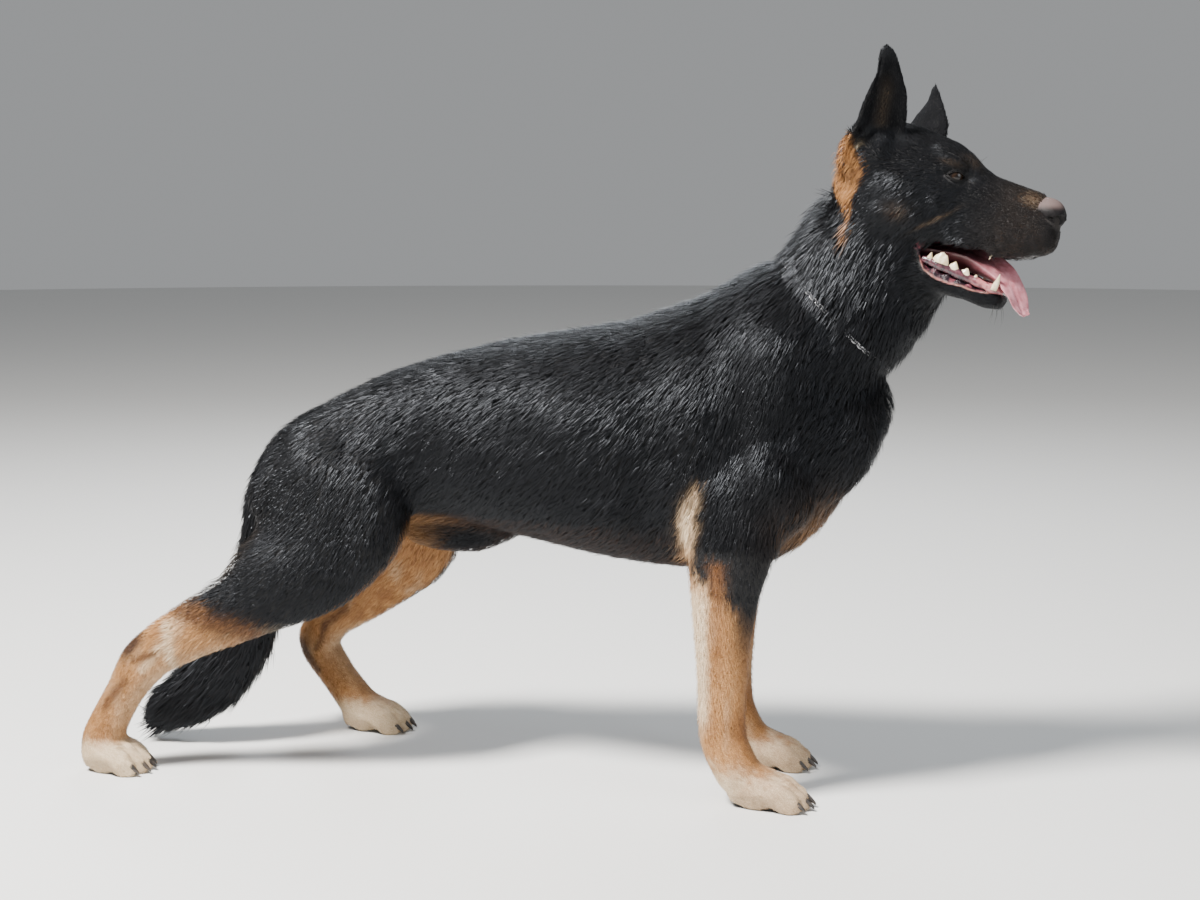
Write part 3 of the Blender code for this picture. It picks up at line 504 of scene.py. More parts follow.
HIND_FORMS = np.array([
    (-165, -90, 400, 42, 60, 60, -7), (-212, -78, 500, 22, 40, 18, 5),
    (-290, -100, 400, 36, 50, 60, 5), (-338, -90, 425, 13, 50, 70, -5.5),
    (-250, -110, 440, 14, 50, 60, -4), (-215, -105, 300, 26, 40, 30, 4.5),
    (-252, -115, 300, 13, 50, 40, -4), (-345, -115, 275, 34, 40, 24, 4)]) / 1000


# how far out the breeches and the nape stand, how deep the hollow before each hock's tendon is, and
# how far down the flews hang
BREECHES_OUT, NAPE_OUT, TENDON_IN, FLEW_DOWN = 0.034, 0.012, 0.0032, 0.0045


def with_folds(points, normals):
    """The head's own forms pressed into the skin, each a bell of its own height: brows, tear grooves,
    cheek, the furrow between the eyes, the lips' edges, the flews and the hollow of each ear. Then
    toes, muscles, the breeches, the nape and the hocks' tendons in the same way."""
    own = in_head(points)
    mirrored = both_alike(own)
    lift = np.zeros(len(points))
    add_bells(lift, mirrored, HEAD_FORMS)
    jaw = within(own[:, 0], *LIPS_SPAN) & (mirrored[:, 1] > 0.01) & (own[:, 2] < -0.09)
    rim = above_lip(own)
    lift += jaw * (0.0014 * bell(rim, 0.0018) - 0.001 * eased(rim, 0.002, 0.006))
    gap, on_ear = furrow_gap(own)
    turned = normals @ HEAD_TURN
    hollow = on_ear * eased(turned[:, 0] + 0.5 * turned[:, 1] * np.sign(own[:, 1]), 0.0, 0.5)
    lift += hollow * (0.0008 * bell(gap + 0.0045, 0.0025) - 0.0024 * bell(gap, 0.0022))
    x, y, z = points.T
    for heel, length, across in PAWS:
        ahead = eased(x, heel + 0.52 * length, heel + 0.8 * length)
        ahead = ahead * eased(-x, -heel - 1.1 * length, -heel - 0.97 * length)
        for row in (-1, 0, 1):
            lift -= 0.003 * ahead * bell(y - across - row * TOE_SPACING, 0.0026) * (z < 0.05)
        for row, reach in TOES:
            knuckle = (heel + (reach - 0.13) * length, across + row * TOE_SPACING, 0.03)
            lift += 0.0016 * spot(points, knuckle, (0.012, 0.007, 0.01))
    for side, forms in ((RIGHT, BODY_FORMS), (LEFT, BODY_FORMS), (RIGHT, HIND_FORMS)):
        add_bells(lift, np.stack([x, MID + (MID - y) * side, z], 1), forms)
    back = x - 0.055 * (1 - eased(z, 0.34, 0.48))       # the other hind leg stands further forward
    add_bells(lift, np.stack([back, 2 * MID - y - 0.01, z], 1), HIND_FORMS)
    points = points + normals * lift[:, None]
    # the hair of the breeches grows from a fuller back edge of the thighs
    for middle, way in (((-0.375, -0.088, 0.325), (-0.95, -0.05, -0.2)),
                        ((-0.318, 0.062, 0.325), (-0.95, 0.05, -0.2))):
        full = spot(points, middle, (0.055, 0.05, 0.09)) * eased(-normals[:, 0], -0.3, 0.4)
        points = points + np.outer(full * BREECHES_OUT, way)
    # and the ruff of the nape from a fuller neck
    full = spot(in_head(points), (-0.022, 0, -0.088), (0.042, 0.05, 0.03))
    full = full * eased(normals @ UPWARD, 0.0, 0.6)
    points = points + np.outer(full * NAPE_OUT, head_way(unit(np.array((-0.35, 0, 0.93)))))
    # the tendon over each hock stands clear of the bone before it
    for middle in ((-0.452, -0.119, 0.205), (-0.338, 0.122, 0.18)):
        groove = spot(points, middle, (0.04, 0.06, 0.01)) * eased(np.abs(normals[:, 1]), 0.2, 0.6)
        points = points - normals * (TENDON_IN * groove)[:, None]
    # the upper lip hangs a little lower than the jaw's bone
    flew = spot(mirrored, (0.2, 0.024, -0.074), (0.03, 0.014, 0.01)) * FLEW_DOWN
    points = points - np.outer(flew, UPWARD)
    # and the roots of the canines and the cheek teeth stay inside
    ahead, aside, over = in_head(points).T
    stump = within(ahead, 0.198, 0.222) & within(over, -0.1135, -0.09)
    sink = np.where(stump, -0.1135 - over, 0)
    row = np.interp(ahead, (0.14, 0.19), (0.0268, 0.0208))
    base = np.interp(ahead, (0.14, 0.19), (-0.1065, -0.111))
    stump = within(ahead, 0.128, 0.198) & (np.abs(np.abs(aside) - row) < 0.0065)
    stump &= within(over, base, base + 0.018)
    return points + np.outer(np.where(stump, base - over, sink), UPWARD)


hide_mesh = skin_mesh()
cut_finer(hide_mesh)
skin, skin_triangles, skin_edges = read_mesh(hide_mesh)
skin_normals = relaxed(normals_of(skin, skin_triangles), skin_edges, 3)
skin_depth = coat_at(skin, unit(skin_normals))[2]
on_floor = eased(-skin_normals[:, 2], 0.3, 0.8) * eased(-skin[:, 2], -0.012, -0.006)
own = in_head(skin)
ear_edge = eased(own[:, 2], -0.06, -0.03) * eased(np.abs(own[:, 1]), 0.052, 0.06)
ear_edge = ear_edge * (own[:, 0] > -0.02)
skin_depth = skin_depth + (np.minimum(skin_depth, 0.0006) - skin_depth) * ear_edge
skin_depth = relaxed((skin_depth * (1 - on_floor))[:, None], skin_edges, 12)
skin = skin - unit(skin_normals) * skin_depth
skin = relaxed(skin, skin_edges, 4, 0.4 * (1 - on_floor[:, None]))
skin = with_lids(with_folds(with_ears(skin), unit(skin_normals)))
skin[:, 2] = np.maximum(skin[:, 2], 0.0)
put_points(hide_mesh, skin)
skin_normals = normals_of(skin, skin_triangles)


def mottle(points, size, seed):
    """Smooth noise from -1 to 1: random values at the corners of a grid of that size, blended along
    each axis with a soft S."""
    base = np.floor(points / size)
    part = points / size - base
    part = part * part * (3 - 2 * part)
    base = base.astype(np.int64)
    total = np.zeros(len(points))
    for corner in range(8):
        step = np.array([(corner >> axis) & 1 for axis in range(3)])
        x, y, z = (base + step).T
        mixed = (x * 73856093) ^ (y * 19349663) ^ (z * 83492791) ^ (seed * 26544357)
        mixed = (mixed ^ (mixed >> 13)) * 1274126177
        value = ((mixed ^ (mixed >> 16)) & 0xFFFF) / 32767.5 - 1
        total += value * np.prod(np.where(step == 1, part, 1 - part), axis=1)
    return total


# cream lines along the bones and tendons of the hocks and brown lines in the grooves beside them, partly
# the hair's own pale and brown and partly painted highlight on the ridges and painted shade in the
# grooves: from, to and width in millimetres, cream, brown
HOCK_LIGHT_SHADE_LINES = np.array([
    (-470, -135, 196, -467, -135, 148, 6.5, 0.85, 0), (-477, -135, 170, -506, -135, 139, 7.5, 0.6, 0),
    (-437, -135, 155, -375, -135, 172, 8, 0.45, 0), (-516, -135, 150, -489, -135, 160, 5, 0, 0.45),
    (-558, -135, 89, -531, -135, 122, 6, 0, 0.5), (-456, -135, 214, -362, -135, 190, 12, 0, 0.38),
    (-395, 115, 158, -348, 115, 187, 7.5, 0.6, 0), (-349, 115, 122, -344, 115, 112, 9, 0.55, 0),
    (-402, 115, 124, -377, 115, 84, 6.5, 0, 0.35), (-376, 115, 116, -355, 115, 152, 5, 0, 0.4),
    (-355, 115, 152, -318, 115, 180, 6, 0, 0.45)]) / ([1000] * 7 + [1, 1])


def markings(points, normals):
    """How tan, cream and brown the hair grows at each point, each 0 to 1; the rest is black."""
    rough = 0.6 * mottle(points, 0.011, 3) + 0.4 * mottle(points, 0.004, 5)
    x, y, z = points.T
    tan, cream, brown = (np.zeros(len(points)) for _ in range(3))
    # forelegs: tan up to the elbow behind and less far in front, with a cream strip above it
    for side, back in ((RIGHT, 0.0), (LEFT, 0.018)):
        ahead = x - (0.219 - back)
        low = 1 - eased(z, 0.055, 0.09)
        gap = np.hypot((ahead - 0.036 * low) * (0.8 - 0.3 * low), y - (0.085 * side + MID))
        leg = (1 - eased(gap, 0.056, 0.07)) * (z < 0.36)
        inner = eased(-normals[:, 1] * side, -0.1, 0.5)
        edge = 0.281 - 0.046 * eased(ahead, -0.04, 0.03) + 0.034 * inner + 0.012 * rough
        here = leg * eased(edge - z, -0.008, 0.01)
        front = eased(ahead, 0.0, 0.03)
        here *= 1 - 0.93 * front * eased(z + 0.014 * rough, 0.145, 0.225) * (1 - inner)
        tan = np.maximum(tan, here)
        wrist = bell(z - 0.098, 0.022) * eased(ahead, -0.03, 0.03)
        middle = bell(ahead + 0.006 + 0.003 * rough, 0.01) * eased(z, 0.12, 0.2)
        low_front = 0.34 * front * (1 - eased(z, 0.17, 0.23)) * (1 + 0.5 * rough)
        brown = np.maximum(brown, leg * (z < 0.3) * (0.6 * middle + 0.6 * wrist + low_front))
        behind = eased(-ahead + 0.004 * rough, 0.01, 0.024) * eased(z, 0.08, 0.12)
        behind *= 1 - eased(z, 0.25, 0.28)
        cream = np.maximum(cream, leg * 0.8 * behind)
        brown = brown * (1 - 0.7 * leg * behind)
        strip = bell(ahead + 0.043 - 0.2 * (z - 0.33) + 0.007 * rough, 0.009)
        strip *= 1 - 0.45 * eased(mottle(points * (1, 1, 0.4), 0.004, 12), -0.1, 0.6)
        strip *= ((y * side > 0) * (np.abs(y - MID) > 0.05) * eased(z, 0.282, 0.3)
                  * (1 - eased(z + 0.024 * rough, 0.345, 0.4)))
        tan = np.maximum(tan, np.minimum(1.5 * strip, 1))
        cream = np.maximum(cream, np.minimum(1.3 * strip, 1) * (0.3 + 0.7 * eased(z, 0.3, 0.33)))
        cream = np.maximum(cream, leg * (1 - eased(z + 0.018 * rough, 0.03, 0.06)) * 0.9)
    # hind legs: the tan comes up the inner side and the hock, the black runs down the outer side
    right = (y < -0.045) & (x < -0.2) & (z < 0.36)
    outer = eased(-0.417 - 1.0 * (z - (0.262 + 0.6 * (x + 0.32))) + 0.02 * rough - x, -0.022, 0.024)
    inner = eased(normals[:, 1], 0.2, 0.6) * eased(-z, -0.335, -0.3)
    tan = np.maximum(tan, right * np.maximum(outer, inner) * eased(-z, -0.3, -0.27))
    brown = np.maximum(brown, right * (1 - inner) * 0.9 * outer * (1 - outer) * (z < 0.27))
    left = (y > 0.035) & (x < -0.12) & (z < 0.36) & ((x > -0.375) | (y > 0.085))
    outer = eased(-0.3 - 0.9 * (z - (0.255 + 0.86 * (x + 0.24))) + 0.012 * rough - x, -0.012, 0.016)
    inner = eased(-normals[:, 1], 0.1, 0.5)
    tan = np.maximum(tan, left * np.maximum(outer * (z < 0.3), inner * eased(-z, -0.335, -0.3)))
    hind = (x < -0.2) & (z < 0.07) & (np.abs(y) > 0.07)
    cream = np.maximum(cream, hind * (1 - eased(z + 0.008 * rough, 0.03, 0.052)) * 0.9)
    low = (x < -0.3) & (z < 0.2) & (np.abs(y) > 0.06)
    cream = np.maximum(cream, low * 0.35 * (bell(z - 0.13, 0.07) * eased(normals[:, 0], -0.1, 0.6)))
    brown = np.maximum(brown, low * 0.35 * eased(-normals[:, 0], 0.1, 0.8) * eased(z, 0.05, 0.1))
    # a breath of brown under the chest, and tan on groin and forechest, held below full strength so that
    # it darkens there as painted shade between the legs
    fringe = eased(-normals[:, 2], 0.2, 0.8) * (z < 0.34) * (x > -0.15) * (x < 0.24)
    brown = np.maximum(brown, 0.05 * fringe * (1 + 0.5 * rough))
    # the groin's tan, held to at most 0.6 below: painted shade between the hind legs
    shaded_groin = spot(points, (-0.205, MID, 0.3), (0.075, 0.085, 0.05)) * eased(-normals[:, 2], -0.3, 0.4)
    shaded_groin *= (1 - eased(normals[:, 1] * np.sign(y - MID), -0.1, 0.3)
              * eased(np.abs(y - MID), 0.025, 0.045))
    sheath = spot(points, (-0.105, MID, 0.29), (0.075, 0.03, 0.035))
    tan = np.maximum(tan, np.clip(1.2 * shaded_groin, 0, 0.6) * (1 - np.clip(1.6 * sheath, 0, 1)))
    # tan on the forechest at under half strength: painted shade between the forelegs
    shaded_forechest = spot(points, (0.32, MID, 0.335), (0.06, 0.075, 0.045))
    tan = np.maximum(tan, np.clip(1.3 * shaded_forechest, 0, 1) * (0.42 + 0.2 * rough))
    # the cream lines paint highlight on the ridges and the brown lines paint shade in the grooves, over
    # the hair's own pale and brown
    for line in HOCK_LIGHT_SHADE_LINES:
        away, (width, pale_and_highlight, dark) = along_line(points, line[:3], line[3:6])[1], line[6:]
        near = np.exp(-(away[:, 0] ** 2 + away[:, 2] ** 2) / width ** 2) * (np.abs(away[:, 1]) < 0.035)
        near = near * (1 + 0.35 * rough)
        tan = tan * (1 - 0.75 * near * (dark > 0))
        cream = np.maximum(cream * (1 - 0.8 * near * (dark > 0)), pale_and_highlight * near)
        brown = np.maximum(brown * (1 - 0.8 * near * (pale_and_highlight > 0)), dark * near)
    hocks = np.maximum(*(spot(points, middle, (0.022, 0.03, 0.026))
                         for middle in ((-0.524, -0.127, 0.166), (-0.385, 0.128, 0.118))))
    dark = np.clip(1.7 * hocks * eased(-normals[:, 0], -0.1, 0.4), 0, 1)
    tan, cream = tan * (1 - 0.95 * dark), cream * (1 - dark)
    brown = np.maximum(brown * (1 - dark), 0.2 * dark)
    streaks = mottle(points * (1, 1, 0.45) - (0, 0, 0.3) * points[:, :1], 0.015, 6)
    legs = tan * (z < 0.3) * (np.abs(y - MID) > 0.03)
    brown = np.maximum(brown, 0.42 * legs * eased(streaks, 0.0, 0.7) * (1 - cream))
    cream = np.maximum(cream, 0.24 * legs * eased(-streaks, 0.1, 0.8))
    # a faint painted highlight of cream and brown on the back-facing rim of the right breeches
    edge = eased(-normals[:, 0], 0.3, 0.9) * spot(points, (-0.405, -0.09, 0.29), (0.05, 0.06, 0.06))
    cream, brown = np.maximum(cream, 0.05 * edge), np.maximum(brown, 0.05 * edge)
    return head_markings(points, normals, rough, tan, cream, brown)


# faint brown, and cream half as strong, on cheek, brows and bridge: middle and radii in millimetres,
# amount
HEAD_PATCHES = np.array([
    (88, 50, -60, 14, 40, 10, 0.05), (142, 20, 12, 12, 20, 8, 0.05),
    (220, 14, -6, 14, 20, 10, 0.13), (124, 30, 4, 12, 20, 4, 0.05)]) / ([1000] * 6 + [1])


def head_markings(points, normals, rough, tan, cream, brown):
    """The same with the head's markings: an orange puff behind each ear, between a front and a rear edge
    by height, a thin line under it, and faint brown on cheek, nose and ears, which on the muzzle partly
    paints the warm cast of sunlit black hair; a pale streak under each eye is a painted highlight along
    its crease."""
    own = in_head(points)
    ahead, high, sided = own[:, 0], own[:, 2], np.abs(own[:, 1])
    ragged = 0.004 * rough
    front = np.interp(high, (-0.07, -0.054, -0.034, -0.015, -0.005, 0.01),
                      (0.03, 0.037, 0.041, 0.026, 0.014, 0.003))
    rear = np.interp(high, (-0.078, -0.063, -0.047, -0.033), (0.028, 0.009, -0.009, -0.03))
    puff = eased(front - ahead + ragged, -0.002, 0.006) * eased(high + ragged, -0.08, -0.066)
    puff *= eased(ahead - rear + ragged, -0.004, 0.004)
    puff *= (1 - eased(high, 0.002, 0.012)) * eased(sided, 0.026, 0.036)
    line = np.interp(high, (-0.113, -0.103, -0.09, -0.073), (0.038, 0.038, 0.036, 0.031))
    line = bell(ahead - line + ragged, 0.0026) * eased(high, -0.12, -0.095)
    puff = np.maximum(puff, 0.75 * line * (1 - eased(high, -0.072, -0.06)) * (sided > 0.03))
    tan = np.maximum(tan, puff)
    brown = np.maximum(brown, 0.45 * puff)
    # faint warm brown and cream on the muzzle: partly the hair's own brown, partly a painted warm cast
    # of sunlit black hair
    nosed = eased(ahead, 0.15, 0.225) * (ahead > 0.1)
    nosed *= eased(high + ragged, -0.092, -0.076)
    brown = np.maximum(brown, nosed * (0.02 + 0.014 * rough))
    cream = np.maximum(cream, nosed * (0.007 + 0.006 * rough))
    mirrored = both_alike(own)
    for row in HEAD_PATCHES:
        patch = spot(mirrored, row[:3], row[3:6])
        brown = np.maximum(brown, row[6] * patch)
        cream = np.maximum(cream, 0.5 * row[6] * patch * (1 + 0.5 * rough))
    # a pale streak from under each eye towards the mouth: a painted highlight along the crease there
    crease_highlight = bell(high + 0.056 - 0.95 * (ahead - 0.131), 0.003)
    crease_highlight = crease_highlight * spot(mirrored, (0.13, 0.04, -0.056), (0.022, 0.05, 0.03))
    crease_highlight = 0.05 * crease_highlight * (1 + 0.5 * rough)
    tan, cream = np.maximum(tan, crease_highlight), np.maximum(cream, crease_highlight)
    cream = np.maximum(cream, 0.4 * spot(mirrored, (0.02, 0.056, -0.006), (0.006, 0.03, 0.003)))
    gap, on_ear = furrow_gap(own)
    concha = on_ear * bell(gap - 0.0085, 0.006) * eased(-high, -0.08, -0.05)
    concha *= eased(normals @ FORWARD, 0.0, 0.5)
    brown, cream = np.maximum(brown, 0.024 * concha), np.maximum(cream, 0.026 * concha)
    return np.clip(tan, 0, 1), np.clip(cream, 0, 1), np.clip(brown, 0, 1)


def in_mouth(points, normals):
    """1 where the skin faces the middle of the open mouth, from behind the lips to the throat."""
    own = in_head(points)
    ahead, high = own[:, 0], own[:, 2]
    middle = np.stack([np.clip(ahead, 0.125, 0.222), 0 * ahead, 0 * ahead - 0.098], 1)
    towards = middle - own
    far = np.linalg.norm(towards, axis=1)
    facing = (normals @ HEAD_TURN * unit(towards)).sum(1)
    inside = within(ahead, 0.098, 0.246) & within(high, -0.128, -0.055) & (far < 0.045)
    lip = within(ahead, *LIPS_SPAN) & (high < -0.085)
    lip = lip * eased(above_lip(own) + 0.0008 * mottle(points, 0.004, 8), -0.0012, 0.0008)
    upper = 0.3 * eased(high, -0.105, -0.09)
    return np.maximum(inside * eased(facing, 0.05 + upper, 0.45 + upper), lip)


def node(made, kind, sockets=None, **values):
    """A node of that kind in the material, with its plain values set, and each named socket set to a
    value or linked to another node's socket."""
    new = made.node_tree.nodes.new(kind)
    for key, value in values.items():
        setattr(new, key, value)
    for socket, value in (sockets or {}).items():
        if hasattr(value, "links"):
            made.node_tree.links.new(value, new.inputs[socket])
        else:
            new.inputs[socket].default_value = value
    return new


def feed(made, socket, value):
    """Links a node's socket to the material's shader."""
    made.node_tree.links.new(value, made.node_tree.nodes["Principled BSDF"].inputs[socket])


def mixed_colour(made, share, low, high):
    """A Mix node's colour between two colours or sockets, by a share."""
    low, high = (value if hasattr(value, "links") else (*value, 1) for value in (low, high))
    return node(made, "ShaderNodeMix", {0: share, 6: low, 7: high}, data_type="RGBA").outputs[2]


def noise_share(made, scale, detail, low, high, stretch=(1, 1, 1)):
    """Noise on the object's own coordinates, spread between 0 and 1 over the given range."""
    place = node(made, "ShaderNodeTexCoord").outputs["Object"]
    place = node(made, "ShaderNodeMapping", {"Vector": place, "Scale": stretch}).outputs[0]
    cloud = node(made, "ShaderNodeTexNoise", {"Vector": place, "Scale": scale, "Detail": detail})
    return node(made, "ShaderNodeMapRange",
                {"Value": cloud.outputs["Fac"], "From Min": low, "From Max": high}).outputs[0]


def clouded(made, noise, low, high):
    """A colour between two colours, by noise with those values."""
    return mixed_colour(made, noise_share(made, *noise), low, high)


def own_value(made, name):
    """The socket of one of the mesh's own values."""
    return node(made, "ShaderNodeAttribute", attribute_name=name).outputs["Fac"]


def bumped(made, height, strength, distance):
    """Puts a height on the shader as bump."""
    bump = node(made, "ShaderNodeBump", {"Height": height, "Strength": strength, "Distance": distance})
    feed(made, "Normal", bump.outputs[0])


# the colours of the hair, each at its root and at its tip
BLACK, BLACK_TIP = (0.003, 0.003, 0.0033), (0.008, 0.0078, 0.0088)
HAIRS = {"tan": ((0.24, 0.104, 0.032), (0.54, 0.29, 0.115)),
         "cream": ((0.52, 0.39, 0.24), (0.8, 0.68, 0.5)),
         "brown": ((0.13, 0.048, 0.014), (0.3, 0.125, 0.038))}


def hair_colour(made, tip_share):
    """The coat's colour at its own values for tan, cream and brown, lighter towards the tips."""
    colour = mixed_colour(made, tip_share, BLACK, BLACK_TIP)
    for name, (root, tip) in HAIRS.items():
        shade = mixed_colour(made, tip_share, root, tip)
        colour = mixed_colour(made, own_value(made, name), colour, shade)
    return colour


def with_values(mesh, **values):
    """Gives each point of the mesh its own named values."""
    for name, value in values.items():
        store = mesh.attributes.new(name, "FLOAT", "POINT")
        store.data.foreach_set("value", np.asarray(value, np.float32))


skin_tan, skin_cream, skin_brown = markings(skin, skin_normals)
skin_wet = in_mouth(skin, skin_normals)
skin_sole = eased(-skin_normals[:, 2], 0.5, 0.9) * (skin[:, 2] < 0.008)
own = in_head(skin)
lip_inside = skin_wet * eased(own[:, 0], 0.18, 0.198) * eased(own[:, 2], -0.104, -0.094)
skin_sole = np.maximum(skin_sole, lip_inside)       # as dark as the soles of the feet
skin_rim = bell(above_lip(own) - 0.0006, 0.0012) * skin_wet * (own[:, 2] < -0.105)
skin_rim *= 0.6 + 0.4 * mottle(skin, 0.0035, 9)
with_values(hide_mesh, tan=skin_tan, cream=skin_cream, brown=skin_brown, wet=skin_wet, sole=skin_sole,
            rim=skin_rim)
hide_mesh.polygons.foreach_set("use_smooth", np.ones(len(hide_mesh.polygons), bool))

HIDE_DRY, HIDE_WET = 0.62, 0.22         # roughness
hide_look = plain_material("hide", BLACK, HIDE_DRY, Specular_IOR_Level=0.28)
fine_hair = noise_share(hide_look, 900, 2, 0.3, 0.7)
wet = own_value(hide_look, "wet")
gums = clouded(hide_look, (150, 3, 0.46, 0.66), (0.016, 0.008, 0.012), (0.17, 0.045, 0.06))
gums = mixed_colour(hide_look, own_value(hide_look, "rim"), gums, (0.4, 0.17, 0.13))
covered = mixed_colour(hide_look, wet, hair_colour(hide_look, fine_hair), gums)
feed(hide_look, "Base Color",
     mixed_colour(hide_look, own_value(hide_look, "sole"), covered, (0.02, 0.017, 0.016)))
feed(hide_look, "Roughness", node(hide_look, "ShaderNodeMapRange", {
    "Value": wet, "To Min": HIDE_DRY, "To Max": HIDE_WET}).outputs[0])
bumped(hide_look, fine_hair, 0.5, 0.0008)
hide = shown("hide", hide_mesh, hide_look)
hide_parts(*[name for name in FLESH if not name.startswith(("eye", "nose"))])

# ---------------------------------------------------------------- eyes
# Two wet brown eyeballs, dark round the rim of the iris, with the lids' black edges round them.


def tube_faces(count, around, closed):
    """The triangles between that many rings of points: two for each cell of their grid, with the
    last ring joined to the first where the tube is closed."""
    i, j = np.meshgrid(np.arange(count if closed else count - 1), np.arange(around), indexing="ij")
    a, b = i * around + j, i * around + (j + 1) % around
    c, d = (b + around) % (count * around), (a + around) % (count * around)
    return np.concatenate([np.stack([v.ravel() for v in corners], 1)
                           for corners in ((a, b, c), (a, c, d))])


def ringed_mesh(name, rings, start, end):
    """A closed skin over rings of points, with one point before the first ring and one after the
    last."""
    count, around = rings.shape[:2]
    points = np.concatenate([[start], rings.reshape(-1, 3), [end]])
    first = 1 + np.arange(around)
    last = first + (count - 1) * around
    caps = [np.stack([0 * first, np.roll(first, -1), first], 1),
            np.stack([0 * last + len(points) - 1, last, np.roll(last, -1)], 1)]
    return closed_mesh(name, points, np.concatenate([1 + tube_faces(count, around, False), *caps]))


def facing_out(points, triangles):
    """The triangles, turned round where the volume that they hold comes out negative."""
    a, b, c = (points[triangles[:, k]] for k in range(3))
    return triangles[:, ::-1] if (a * np.cross(b, c)).sum() < 0 else triangles


def closed_mesh(name, points, triangles, smooth=True):
    """A mesh of the triangles, turned outwards."""
    triangles = facing_out(points, triangles)
    mesh = bpy.data.meshes.new(name)
    mesh.vertices.add(len(points))
    mesh.vertices.foreach_set("co", np.ascontiguousarray(points, np.float32).ravel())
    mesh.loops.add(triangles.size)
    mesh.loops.foreach_set("vertex_index", np.ascontiguousarray(triangles, np.int32).ravel())
    mesh.polygons.add(len(triangles))
    mesh.polygons.foreach_set("loop_start", np.arange(0, triangles.size, 3, dtype=np.int32))
    mesh.polygons.foreach_set("use_smooth", np.full(len(triangles), smooth))
    mesh.update(calc_edges=True)
    return mesh


def closed_loop(name, path, radius, around=10):
    """A round cord along a closed path: at each point a circle square to the path, spanned by the
    way out from the path's middle and by the path's own turn."""
    along = unit(np.roll(path, -1, 0) - np.roll(path, 1, 0))
    out = unit(laid_flat(path - path.mean(0), along))
    side = np.cross(along, out)
    turn = full_turn(around)
    rings = (path[:, None] + radius * (out[:, None] * np.cos(turn)[:, None]
                                       + side[:, None] * np.sin(turn)[:, None]))
    return closed_mesh(name, rings.reshape(-1, 3), tube_faces(len(path), around, True))


def joined(name, meshes):
    """One mesh of several."""
    bm = bmesh.new()
    for mesh in meshes:
        bm.from_mesh(mesh)
    whole = bpy.data.meshes.new(name)
    bm.to_mesh(whole)
    bm.free()
    whole.polygons.foreach_set("use_smooth", np.ones(len(whole.polygons), bool))
    return whole


GAZE = (0.62, 0.78, 0.02)
BULGE = 0.045                   # how far the clear bulge before the iris stands out, of the radius
BALL_RINGS, BALL_SIDES = 42, 48
eye_look = plain_material("eyeball", (0.02, 0.01, 0.005), 0.22, Coat_Weight=0.45, Coat_Roughness=0.03,
                          Specular_IOR_Level=0.25)
ramp = node(eye_look, "ShaderNodeValToRGB", {"Fac": own_value(eye_look, "rim")})
for place, colour in ((0.09, (0.002, 0.002, 0.002)), (0.108, (0.009, 0.0045, 0.0025)),
                      (0.165, (0.019, 0.0095, 0.004)), (0.205, (0.007, 0.0035, 0.0025)),
                      (0.225, (0.003, 0.002, 0.002)), (0.32, (0.008, 0.005, 0.005))):
    stop = ramp.color_ramp.elements.new(place)
    stop.color = (*colour, 1)
ramp.color_ramp.elements.remove(ramp.color_ramp.elements[0])
ramp.color_ramp.elements[0].position = 0.0
iris = clouded(eye_look, (1400, 2, 0.3, 0.7), (0.55, 0.55, 0.55), (1.25, 1.2, 1.1))
tinted = node(eye_look, "ShaderNodeMix", {0: 1.0, 6: ramp.outputs["Color"], 7: iris}, data_type="RGBA",
              blend_type="MULTIPLY")
feed(eye_look, "Base Color", tinted.outputs[2])

for side, word in ((RIGHT, "right"), (LEFT, "left")):
    middle = eye_axes(side)[0]
    gaze = unit(head_way(flipped(GAZE, side)))
    wide = unit(np.cross(gaze, (0, 0, 1)))
    tall = np.cross(wide, gaze)
    # radius by the angle from the gaze
    angle = np.linspace(0, np.pi, BALL_RINGS)[1:-1, None]
    turn = full_turn(BALL_SIDES)[None, :]
    far = EYE_RADIUS * (1 + BULGE * np.exp(-(angle / 0.45) ** 4)) + 0 * turn
    rings = middle + far[..., None] * (np.cos(angle + 0 * turn)[..., None] * gaze
                                       + (np.sin(angle) * np.cos(turn))[..., None] * wide
                                       + (np.sin(angle) * np.sin(turn))[..., None] * tall)
    ball = ringed_mesh(f"eyeball_{word}", rings, middle + gaze * EYE_RADIUS * (1 + BULGE),
                       middle - gaze * EYE_RADIUS)
    with_values(ball, rim=np.concatenate([[0], np.repeat(angle[:, 0], BALL_SIDES), [np.pi]]) / np.pi)
    eyeball = shown(f"eyeball_{word}", ball, eye_look)
    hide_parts(f"eye_{word}")

lid_look = plain_material("lid edge", (0.0025, 0.0022, 0.0022), 0.6, Specular_IOR_Level=0.2)
bumped(lid_look, noise_share(lid_look, 900, 2, 0.3, 0.7), 0.2, 0.0003)
edges_made = []
for side in (RIGHT, LEFT):
    middle, out, nose_way, up = eye_axes(side)
    turn = full_turn(72)
    across = LID_HALF * 0.985 * np.cos(turn)
    rise = np.where(turn < np.pi, UPPER_LID, -LOWER_LID) * np.maximum(1 - (across / LID_HALF) ** 2, 0)
    ways = ((np.cos(rise) * np.cos(across))[:, None] * out
            + (np.cos(rise) * np.sin(across))[:, None] * nose_way + np.sin(rise)[:, None] * up)
    edges_made.append(closed_loop("lid edge", middle + ways * (EYE_RADIUS + 0.0009), 0.001))
lids = shown("lid_edges", joined("lid_edges", edges_made), lid_look)

# ---------------------------------------------------------------- nose
# The nose leather: a squared dome of damp pebbled skin with two comma-shaped nostrils, a groove
# down the middle and its back edge under the hair.

NOSE_BACK, NOSE_FRONT = 0.227, 0.2578
NOSE_HALF, NOSE_OVER, NOSE_UNDER, NOSE_MIDDLE = 0.0198, 0.0196, 0.016, -0.0152


